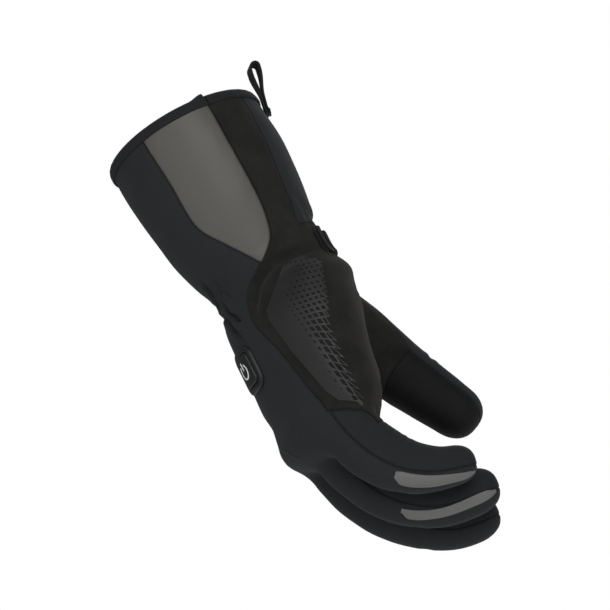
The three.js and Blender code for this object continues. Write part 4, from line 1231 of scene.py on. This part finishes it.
class GLOVE_OT_grip_print(bpy.types.Operator):
    """Prints the silicone lattice on the heel of the hand"""

    bl_idname = "glove.grip_print"
    bl_label = "Grip print"

    def execute(self, context):
        size = sizes()
        turns, heights = np.linspace(-34, 48, 250), np.linspace(-103, -209, 400)
        turn, z = np.meshgrid(turns, heights)
        points = body_point(turn, z).reshape(-1, 3)
        triangles = grid_triangles(len(heights), len(turns))
        normals = normals_of(points, triangles)
        if (normals[:, 1] > 0).mean() > 0.5:
            triangles, normals = triangles[:, ::-1], -normals
        holes, teeth, share = self.lattice(points, size["lattice"])
        edge = outline_distance(points, normals, side_points(GRIP_EDGE)) + teeth
        holes = np.minimum(holes, edge - BAR)
        height = crease_height(points)
        base = points + normals * (height - 0.1)[:, None]
        top = points + normals * (height + size["film"])[:, None]
        data = np.concatenate([top, base, np.stack([edge, holes, share], axis=1)], axis=1)
        data, triangles = clipped(data, triangles, data[:, 6])
        data, triangles = clipped(data, triangles, -data[:, 7])
        solid, faces = thickened(data[:, :3], data[:, 3:6], triangles)
        # painted highlight on the print: paler towards its palm edge, more so down the hand
        low = 0.45 + 0.55 * smooth_step((-data[:, 2] - 135) / 45)
        to_palm = np.tile(smooth_step((data[:, 8] - 0.4) / 0.5) * low, 2)
        piece = new_object("grip_lattice", solid, faces, material("print"), solid[:, [0, 2]],
                           {"to_palm": to_palm})
        dress(piece, "grip", "grip_print")
        return {"FINISHED"}

    @staticmethod
    def lattice(points, pitch):
        """Two fields of the lattice and the share of the way to the print's palm edge. The
        first is positive in the holes: slanted cells between two sets of bars, taller, more
        slanted and wider open down the print. The second is how far the print's palm edge
        stands out: a sawtooth with one tooth for each row of cells."""
        ahead, down = points[:, 0], -points[:, 2]
        left, right = (np.interp(down / GLOVE_DROP, *edge.T) * MOUTH_DEPTH
                       for edge in (GRIP_EDGE[:7:-1], GRIP_EDGE[1:8]))
        share = (ahead - left) / (right - left)
        steps = np.arange(80.0, 240.0, 0.5)
        count = np.cumsum(0.5 / (pitch * (1 + 0.9 * print_foot(steps))))
        level = down - (0.2 + 0.8 * print_foot(down)) * (ahead - (left + right) / 2)
        tall = pitch * (1 + 0.9 * print_foot(level))
        rows = np.interp(level, steps, count)
        columns = (ahead - 0.1 * (down - 150)) / pitch
        row_off = np.abs(rows - np.round(rows)) * tall
        column_off = np.abs(columns - np.round(columns)) * pitch
        start = np.interp(down, [108, 122, 140, 160, 200], [0.45, 0.2, 0.26, 0.42, 0.4])
        wide = np.clip((share - start) / 0.32, 0, 1)
        wide *= 0.52 + 0.48 * smooth_step((down - 118) / 45)
        holes = np.minimum(wide * (tall - BAR) / 2 - row_off, wide * (pitch - BAR) / 2 - column_off)
        tooth = rows + 0.5 - np.floor(rows + 0.5)
        teeth = TEETH * (0.6 + 0.8 * print_foot(down)) * (tooth - 0.5)
        teeth *= smooth_step((share - 0.7) / 0.2)
        return holes, teeth, share


class GLOVE_OT_tapes(bpy.types.Operator):
    """Lays the reflective tapes on the seams of two fingers"""

    bl_idname = "glove.tapes"
    bl_label = "Finger tapes"

    def execute(self, context):
        thick = sizes()["tape"]
        for name, rows in TAPE_ROWS.items():
            along = np.linspace(rows[0, 0], rows[-1, 0], 90)
            start, end = read_rows(rows[:, 0], rows[:, 1:], along).T
            share = np.linspace(0, 1, 17)
            turn = start[:, None] + (end - start)[:, None] * share
            digit = DIGITS[name]
            rings = []
            for lift, order in ((thick, slice(None)), (-0.5, slice(None, None, -1))):
                crown = lift - 0.25 * thick * (np.abs(2 * share - 1) ** 6) * (lift > 0)
                points = digit_point(digit, along[:, None], turn, crown[None, :])
                rings.append(points[:, order])
            solid, faces = closed_tube(np.concatenate(rings, axis=1))
            length = (along[-1] - along[0]) * digit["length"]
            rim = rings[0][:, [0, -1]]
            width = np.linalg.norm(rim[:, 0] - rim[:, 1], axis=1).mean()
            uv = solid[:, [0, 2]]
            # the tapes take no painted seam shade
            piece = new_object(f"{name}_seam_tape", solid, faces, material("seam_tape"), uv,
                               {"near_seam": np.zeros(len(solid))})
            dress(piece, "reflective", f"{name}_finger_tape")
            lay_sheet(piece, width, length, "stretched", f"{name}_finger_front")
        return {"FINISHED"}


class GLOVE_OT_bindings(bpy.types.Operator):
    """Folds the tape round the cuff's mouth in its two lengths"""

    bl_idname = "glove.bindings"
    bl_label = "Bindings"

    def execute(self, context):
        self.binding("back_binding", "cuff_binding_back", 180 - BINDING_SPLIT + 0.3,
                     360 + BINDING_SPLIT - 0.3, BINDING_STEP)
        self.binding("palm_binding", "cuff_binding_palm", BINDING_SPLIT + 0.3,
                     180 - BINDING_SPLIT - 0.3, 0.0)
        return {"FINISHED"}

    @staticmethod
    def section():
        """Closed outline of the folded tape as height and distance off the cloth: a middle line
        up the outside, over the rim in a flat half ellipse and down the inside, with half the
        tape's thickness laid off on both sides of it."""
        outer, inner = 0.15 + BINDING_CLOTH / 2, -WALL - 0.15 - BINDING_CLOTH / 2
        round_up = 1.7
        leg = np.linspace(-BINDING_HEIGHT + 0.45, -round_up - 0.45, 8)
        spin = np.linspace(0, 180, 13)[1:-1] * DEGREE
        middle, half = (outer + inner) / 2, (outer - inner) / 2
        over = np.stack([-round_up - 0.45 + round_up * np.sin(spin),
                         middle + half * np.cos(spin)], axis=1)
        line = np.concatenate([
            np.stack([leg, outer + 0.22 * np.sin((leg + 6.1) / 4.4 * math.pi)], axis=1), over,
            np.stack([leg[::-1], np.full(8, inner)], axis=1)])
        run = np.gradient(line, axis=0)
        run /= np.linalg.norm(run, axis=1, keepdims=True)
        side = np.stack([-run[:, 1], run[:, 0]], axis=1) * BINDING_CLOTH / 2
        ends = [line[-1] + run[-1] * 0.45, line[0] - run[0] * 0.45]
        return np.concatenate([line + side, ends[:1], (line - side)[::-1], ends[1:]])

    def binding(self, name, node, start, end, step):
        """Carries the section round the mouth, its last degrees raised by a step."""
        section = self.section()
        turn = np.linspace(start, end, int((end - start) * 1.3))
        height, lift = section.T
        raised = step * smooth_step((turn - end + STEP_TURN) / STEP_TURN)[:, None]
        ripple = 0.12 * np.sin(turn * 0.7 + 1) + 0.08 * np.sin(turn * 1.9)
        plump = np.minimum(1, np.minimum(turn - start, end - turn) / 0.8 * 0.35 + 0.65)
        z = np.minimum(height, -0.02)[None, :] * np.ones((len(turn), 1))
        lift = (lift[None, :] + 1.5) * plump[:, None] - 1.5 + ripple[:, None] * (lift > 0) * 0.5
        rings = body_point(turn[:, None], z, lift)
        rings[..., 2] += raised * (1 + height / BINDING_HEIGHT)
        solid, faces = closed_tube(rings)
        long, across = run_lengths(rings[:, 0]), run_lengths(section)
        piece = new_object(name, solid, faces, material("tape"), strip_pattern(long, across[None]))
        dress(piece, "black_cloth", node)
        lay_sheet(piece, across[-1] / 2, long[-1], "folded", "back_shell", "palm_shell")
        stitch_turns = np.arange(start + 1.5, end - 1.5, 3.0 / 0.93)
        raise_stitch = step * smooth_step((stitch_turns - end + STEP_TURN) / STEP_TURN)
        below = -BINDING_HEIGHT + 1.3
        self.stitches(f"{name}_stitches", stitch_turns, below, 1.32, 1.9,
                      raise_stitch * (1 + below / BINDING_HEIGHT))

    @staticmethod
    def stitches(name, turns, z, lift, length, raised):
        """Row of short threads, each a round bead drawn out along the row."""
        points = body_point(turns, z, lift)
        ahead = body_point(turns + 0.5, z, lift) - points
        points[:, 2] += raised
        ahead /= np.linalg.norm(ahead, axis=1, keepdims=True)
        out = np.cross(ahead, [0, 0, 1.0])
        stitch_row(name, points, ahead, out, length)


def stitch_row(name, points, ahead, out, length, thick=0.42, key="thread", slot="black_cloth"):
    """One mesh of stitches: each a short tube along ahead that dives in at both ends."""
    share = np.linspace(-1, 1, 6)
    size = np.sqrt(np.clip(1 - share**4, 0.04, 1)) * thick / 2
    spin = np.arange(6) * math.pi / 3
    up = np.cross(out, ahead)
    middle = (points[:, None] + ahead[:, None] * (share * length / 2)[None, :, None]
              - out[:, None] * (0.35 * share**2)[None, :, None])
    ring = (middle[:, :, None]
            + out[:, None, None] * (np.cos(spin)[None, :] * size[:, None])[None, ..., None]
            + up[:, None, None] * (np.sin(spin)[None, :] * size[:, None])[None, ..., None])
    solid, faces = joined([tube(one) for one in ring])
    piece = new_object(name, solid, faces, material(key), solid[:, [1, 2]])
    dress(piece, slot)
    return piece


class GLOVE_OT_strap(bpy.types.Operator):
    """Lays the wrist strap with its pull end and keeper"""

    bl_idname = "glove.strap"
    bl_label = "Wrist strap"

    def execute(self, context):
        thick = sizes()["strap"]
        over = thick + OVER_WEBBING
        levels = {"wrist_webbing": (WEBBING_BASE, thick), "pull_end": (over, thick + 0.2),
                  "keeper_band": (over, KEEPER_CLOTH)}
        for name, (node, start, end, inset, finish) in STRAP_BANDS.items():
            self.band(name, node, start, end, inset, *levels[name], finish)
        return {"FINISHED"}

    @staticmethod
    def band(name, node, start, end, inset, base, thick, finish):
        """Flat band round the wrist: a rounded section carried over the cloth, its ends closed in a
        soft edge."""
        width = STRAP_WIDTH - 2 * inset
        section = rounded_section(width, thick, thick * 0.42, 4)
        flat = np.linspace(-width / 2 + thick * 0.42, width / 2 - thick * 0.42, 14)[1:-1]
        high = np.stack([flat[::-1], np.full(12, thick / 2)], axis=1)
        low = np.stack([flat, np.full(12, -thick / 2)], axis=1)
        section = np.concatenate([section[:5], high, section[5:15], low, section[15:]])
        turn = np.linspace(start, end, int((end - start) * 1.5) + 8)
        near = np.minimum(turn - start, end - turn) * 0.7
        close = np.sqrt(np.clip(1 - (1 - np.clip(near / 1.0, 0, 1)) ** 2, 0.12, 1))
        across = section[:, 0][None, :] * (0.96 + 0.04 * close[:, None])
        lift = base + thick / 2 + section[:, 1][None, :] * close[:, None]
        z = STRAP_TOP - STRAP_WIDTH / 2 - across
        rings = body_point(turn[:, None], z, lift)
        solid, faces = closed_tube(rings)
        long = run_lengths(rings[:, 0])
        piece = new_object(name, solid, faces, material(finish), strip_pattern(long, across))
        dress(piece, "black_cloth", node)
        lay_sheet(piece, width, long[-1], "stretched", "palm_shell")


class GLOVE_OT_pull_loop(bpy.types.Operator):
    """Folds the webbing of the pull loop and sews it down"""

    bl_idname = "glove.pull_loop"
    bl_label = "Pull loop"

    def execute(self, context):
        """The webbing's middle line runs up one strand, round the top in a half circle and down
        the other; it leans out with its height, and its width is turned about the upright."""
        foot = body_point(90.0, LOOP_FOOT, 0.3)
        rise = LOOP_HEIGHT - LOOP_SPAN / 2
        shut, reach = LOOP_CLOTH + 0.3, (LOOP_SPAN - LOOP_CLOTH) / 2
        t = np.linspace(0, 1, 26)
        off = shut / 2 + (reach - shut / 2) * smooth_step((t - 0.3) / 0.6)
        spin = np.linspace(0, 180, 26)[1:-1] * DEGREE
        up = np.concatenate([np.linspace(-LOOP_SEAT, 0, 6)[:-1], t * rise,
                             rise + reach * np.sin(spin),
                             t[::-1] * rise, np.linspace(0, -LOOP_SEAT, 6)[1:]])
        out = np.concatenate([np.full(5, -shut / 2), -off, -reach * np.cos(spin), off[::-1],
                              np.full(5, shut / 2)])
        lean = math.tan(LOOP_LEAN * DEGREE)
        line = np.stack([shut / 2 + LOOP_CLOTH / 2 + out + lean * np.maximum(0, up),
                         up + LOOP_SEAT], axis=1)
        run = np.gradient(line, axis=0)
        run /= np.linalg.norm(run, axis=1, keepdims=True)
        side = np.stack([run[:, 1], -run[:, 0]], axis=1)
        section = rounded_section(LOOP_WIDTH, LOOP_CLOTH, LOOP_CLOTH * 0.4, 3)
        away = line[:, None, 0] + section[None, :, 1] * side[:, None, 0]
        high = line[:, None, 1] + section[None, :, 1] * side[:, None, 1]
        width = section[None, :, 0] * np.ones((len(line), 1))
        centre = np.maximum(0, (line[:, 1] - LOOP_SEAT) * lean)[:, None]
        twist = LOOP_TWIST * DEGREE * smooth_step((line[:, 1] - LOOP_SEAT) / rise)[:, None]
        rings = np.stack([
            foot[0] + centre + (away - centre) * np.cos(twist) - width * np.sin(twist),
            foot[1] + (away - centre) * np.sin(twist) + width * np.cos(twist),
            foot[2] + high], axis=-1)
        solid, faces = closed_tube(rings)
        long = run_lengths(line)
        piece = new_object("loop_webbing", solid, faces, material("webbing"),
                           strip_pattern(long, section[None, :, 0]))
        dress(piece, "black_cloth", "pull_loop")
        lay_sheet(piece, LOOP_WIDTH, long[-1], "folded", "palm_binding")
        self.bar_tack(foot)
        return {"FINISHED"}

    @staticmethod
    def bar_tack(foot):
        """Close row of upright stitches across the loop's sewn end."""
        across = np.linspace(-3.6, 3.6, 13)
        thick = 2 * LOOP_CLOTH + 0.55
        points = foot + np.stack([np.full(13, thick), across, np.full(13, 2.0)], axis=1)
        ahead = np.tile([0, 0.12, 1.0], (13, 1))
        out = np.tile([1.0, 0, 0], (13, 1))
        stitch_row("loop_bar_tack", points, ahead, out, 2.6, 0.5)


class GLOVE_OT_button(bpy.types.Operator):
    """Moulds the control button on the back of the hand"""

    bl_idname = "glove.button"
    bl_label = "Control button"

    @staticmethod
    def loop_of(inset):
        """Rounded square outline drawn in by an inset: four sides and four quarter circles."""
        half = BUTTON_SIDE / 2 - inset
        corner = max(BUTTON_ROUND - inset, 0.3)
        turn = np.linspace(0, 90, 9) * DEGREE
        arc = np.stack([np.cos(turn), np.sin(turn)], axis=1) * corner + (half - corner)
        side = np.linspace(1, -1, 13)[1:-1] * (half - corner)
        edge = np.concatenate([arc, np.stack([side, np.full(11, half)], axis=1)])
        spins = [np.array([[math.cos(a), math.sin(a)], [-math.sin(a), math.cos(a)]])
                 for a in np.arange(4) * math.pi / 2]
        return np.concatenate([edge @ spin for spin in spins])

    @staticmethod
    def on_hand(flat, height):
        """Point above the cloth: flat holds offsets across and up, carried on to the hand's
        form about the button's middle, then raised along the form's normal there."""
        step = 0.02
        middle = body_point(BUTTON_TURN, BUTTON_Z)
        per_turn = np.linalg.norm(body_point(BUTTON_TURN + 1, BUTTON_Z) - middle)
        turn, z = BUTTON_TURN + flat[..., 0] / per_turn, BUTTON_Z + flat[..., 1]
        points = body_point(turn, z)
        run = body_point(turn + step, z) - points
        rise = body_point(turn, z + step) - points
        out = np.cross(run, rise)
        out /= np.linalg.norm(out, axis=-1, keepdims=True)
        return points + out * np.asarray(height)[..., None]

    def rings(self, profile):
        inset, height = np.array(profile, float).T
        flat = np.stack([self.loop_of(value) for value in inset])
        return self.on_hand(flat, np.broadcast_to(height[:, None], flat.shape[:2]))

    def execute(self, context):
        housing = [(0.2, -0.9), (0, 0.2), (0.05, 0.8), (0.25, 1.4), (0.7, 1.95), (1.3, 2.2),
                   (2.0, 2.3), (3.0, 2.28), (3.5, 2.15), (3.75, 1.8), (3.8, 1.2), (3.8, 0.4),
                   (3.7, -0.9)]
        solid, faces = ring_tube(self.rings(housing))
        faces = turned_out(solid, faces)
        piece = new_object("button_frame", solid, faces, material("rubber"), sharp=70)
        dress(piece, "moulded", "button_housing")
        pad = [(4.2, 0.3), (4.15, 1.6), (4.2, 2.2), (4.45, 2.65), (4.9, 2.95), (5.6, 3.08),
               (7.0, 3.12), (9, 3.15), (11, 3.15), (13.2, 3.15)]
        solid, faces = closed_tube(self.rings(pad))
        piece = new_object("button_face", solid, faces, material("pad"), sharp=70)
        dress(piece, "moulded", "button_pad")
        self.mark(3.15)
        return {"FINISHED"}

    def mark(self, top):
        """Plain power mark: a broken ring and an upright bar, both thin flat bands."""
        spin = np.linspace(125, 415, 60) * DEGREE
        ring = np.stack([np.cos(spin), np.sin(spin)], axis=1) * 4.3
        bar = np.stack([np.zeros(12), np.linspace(0.9, 5.6, 12)], axis=1)
        parts = []
        for line in (ring, bar):
            run = np.gradient(line, axis=0)
            run /= np.linalg.norm(run, axis=1, keepdims=True)
            side = np.stack([-run[:, 1], run[:, 0]], axis=1)
            across = np.array([-0.55, -0.5, 0.5, 0.55, 0.5, -0.5])
            lift = np.array([0.02, 0.12, 0.12, 0.02, -0.1, -0.1]) + top
            flat = line[:, None] + side[:, None] * across[None, :, None]
            parts.append(tube(self.on_hand(flat, np.broadcast_to(lift, flat.shape[:2]))))
        solid, faces = joined(parts)
        piece = new_object("button_mark", solid, faces, material("mark"))
        dress(piece, "moulded")


class GLOVE_OT_stage(bpy.types.Operator):
    """Sets the camera, the soft studio light and the pale floor"""

    bl_idname = "glove.stage"
    bl_label = "Stage"

    def execute(self, context):
        scene = context.scene
        az, el, roll = (value * DEGREE for value in (VIEW_AZIMUTH, VIEW_ELEVATION, VIEW_ROLL))
        back = Vector((math.sin(az) * math.cos(el), -math.cos(az) * math.cos(el), math.sin(el)))
        right = Vector((math.cos(az), math.sin(az), 0))
        up = back.cross(right)
        across = right * math.cos(roll) - up * math.sin(roll)
        rise = right * math.sin(roll) + up * math.cos(roll)
        target = Vector(VIEW_TARGET) * MM
        camera = bpy.data.objects.new("view", bpy.data.cameras.new("view"))
        camera.data.sensor_width = 36
        camera.data.lens = 36 * FOCAL_SHARE
        camera.data.clip_end = 50
        basis = Matrix((across, rise, back)).transposed().to_4x4()
        camera.matrix_world = Matrix.Translation(target + back * VIEW_DISTANCE * MM) @ basis
        scene.collection.objects.link(camera)
        scene.camera = camera
        scene.view_settings.view_transform = "Standard"
        for name, (place, size, watts) in LAMPS.items():
            away = across * place[0] + rise * place[1] + back * place[2]
            self.lamp(name, target + away, target, size, watts)
        place, size, watts = TOP_LAMP
        self.lamp("top", Vector(place), target, size, watts)
        self.sky(scene)
        self.floor()
        return {"FINISHED"}

    @staticmethod
    def lamp(name, place, target, size, watts):
        data = bpy.data.lights.new(name, "AREA")
        data.shape, data.size, data.energy = "DISK", size, watts
        lamp = bpy.data.objects.new(name, data)
        lamp.location = place
        lamp.rotation_euler = (place - target).to_track_quat("Z", "Y").to_euler()
        bpy.context.scene.collection.objects.link(lamp)

    @staticmethod
    def sky(scene):
        """White surround: full white behind the glove, softer as a light."""
        world = bpy.data.worlds.new("studio")
        scene.world = world
        world.use_nodes = True
        tree = world.node_tree
        tree.nodes.clear()
        seen, lit = (tree.nodes.new("ShaderNodeBackground") for _ in range(2))
        seen.inputs["Color"].default_value = (1, 1, 1, 1)
        seen.inputs["Strength"].default_value = 1.0
        lit.inputs["Color"].default_value = (0.95, 0.98, 1.0, 1)
        lit.inputs["Strength"].default_value = SURROUND_LIGHT
        path = tree.nodes.new("ShaderNodeLightPath")
        mix = tree.nodes.new("ShaderNodeMixShader")
        out = tree.nodes.new("ShaderNodeOutputWorld")
        tree.links.new(path.outputs["Is Camera Ray"], mix.inputs[0])
        tree.links.new(lit.outputs[0], mix.inputs[1])
        tree.links.new(seen.outputs[0], mix.inputs[2])
        tree.links.new(mix.outputs[0], out.inputs[0])

    @staticmethod
    def floor():
        reach = 6.0
        corners = [(x * reach, y * reach, FLOOR_HEIGHT * MM)
                   for x, y in ((-1, -1), (1, -1), (1, 1), (-1, 1))]
        mesh = bpy.data.meshes.new("floor")
        mesh.from_pydata(corners, [], [(0, 1, 2, 3)])
        board = Board("floor_paint")
        cloud = board.noise(board.place(), 3, 2, 0.5)
        tone = board.mix(cloud, shade(colour("floor"), 0.97), shade(colour("floor"), 1.0))
        mesh.materials.append(board.finish(
            Base_Color=tone, Roughness=0.8, Emission_Color=(1, 1, 1, 1),
            Emission_Strength=FLOOR_GLOW))
        floor = bpy.data.objects.new("floor", mesh)
        bpy.context.scene.collection.objects.link(floor)


class GLOVE_PT_panel(bpy.types.Panel):
    """Sizes, colours and building steps of the glove"""

    bl_label = "Heated Glove"
    bl_idname = "GLOVE_PT_panel"
    bl_space_type = "VIEW_3D"
    bl_region_type = "UI"
    bl_category = "Glove"

    def draw(self, context):
        for group in (context.scene.glove_sizes, context.scene.glove_colours):
            box = self.layout.box()
            for key in type(group).__annotations__:
                box.prop(group, key)
        for step in STEPS:
            self.layout.operator(step.bl_idname)


STEPS = (GLOVE_OT_cloths, GLOVE_OT_grip_print, GLOVE_OT_tapes, GLOVE_OT_bindings,
         GLOVE_OT_strap, GLOVE_OT_pull_loop, GLOVE_OT_button, GLOVE_OT_stage)
CLASSES = (GloveSizes, GloveColours, *STEPS, GLOVE_PT_panel)


def register():
    for item in CLASSES:
        bpy.utils.register_class(item)
    bpy.types.Scene.glove_sizes = PointerProperty(type=GloveSizes)
    bpy.types.Scene.glove_colours = PointerProperty(type=GloveColours)


def unregister():
    del bpy.types.Scene.glove_sizes
    del bpy.types.Scene.glove_colours
    for item in reversed(CLASSES):
        bpy.utils.unregister_class(item)


def main():
    register()
    bpy.ops.glove.cloths()
    bpy.ops.glove.grip_print()
    bpy.ops.glove.tapes()
    bpy.ops.glove.bindings()
    bpy.ops.glove.strap()
    bpy.ops.glove.pull_loop()
    bpy.ops.glove.button()
    bpy.ops.glove.stage()


if __name__ == "__main__":
    main()
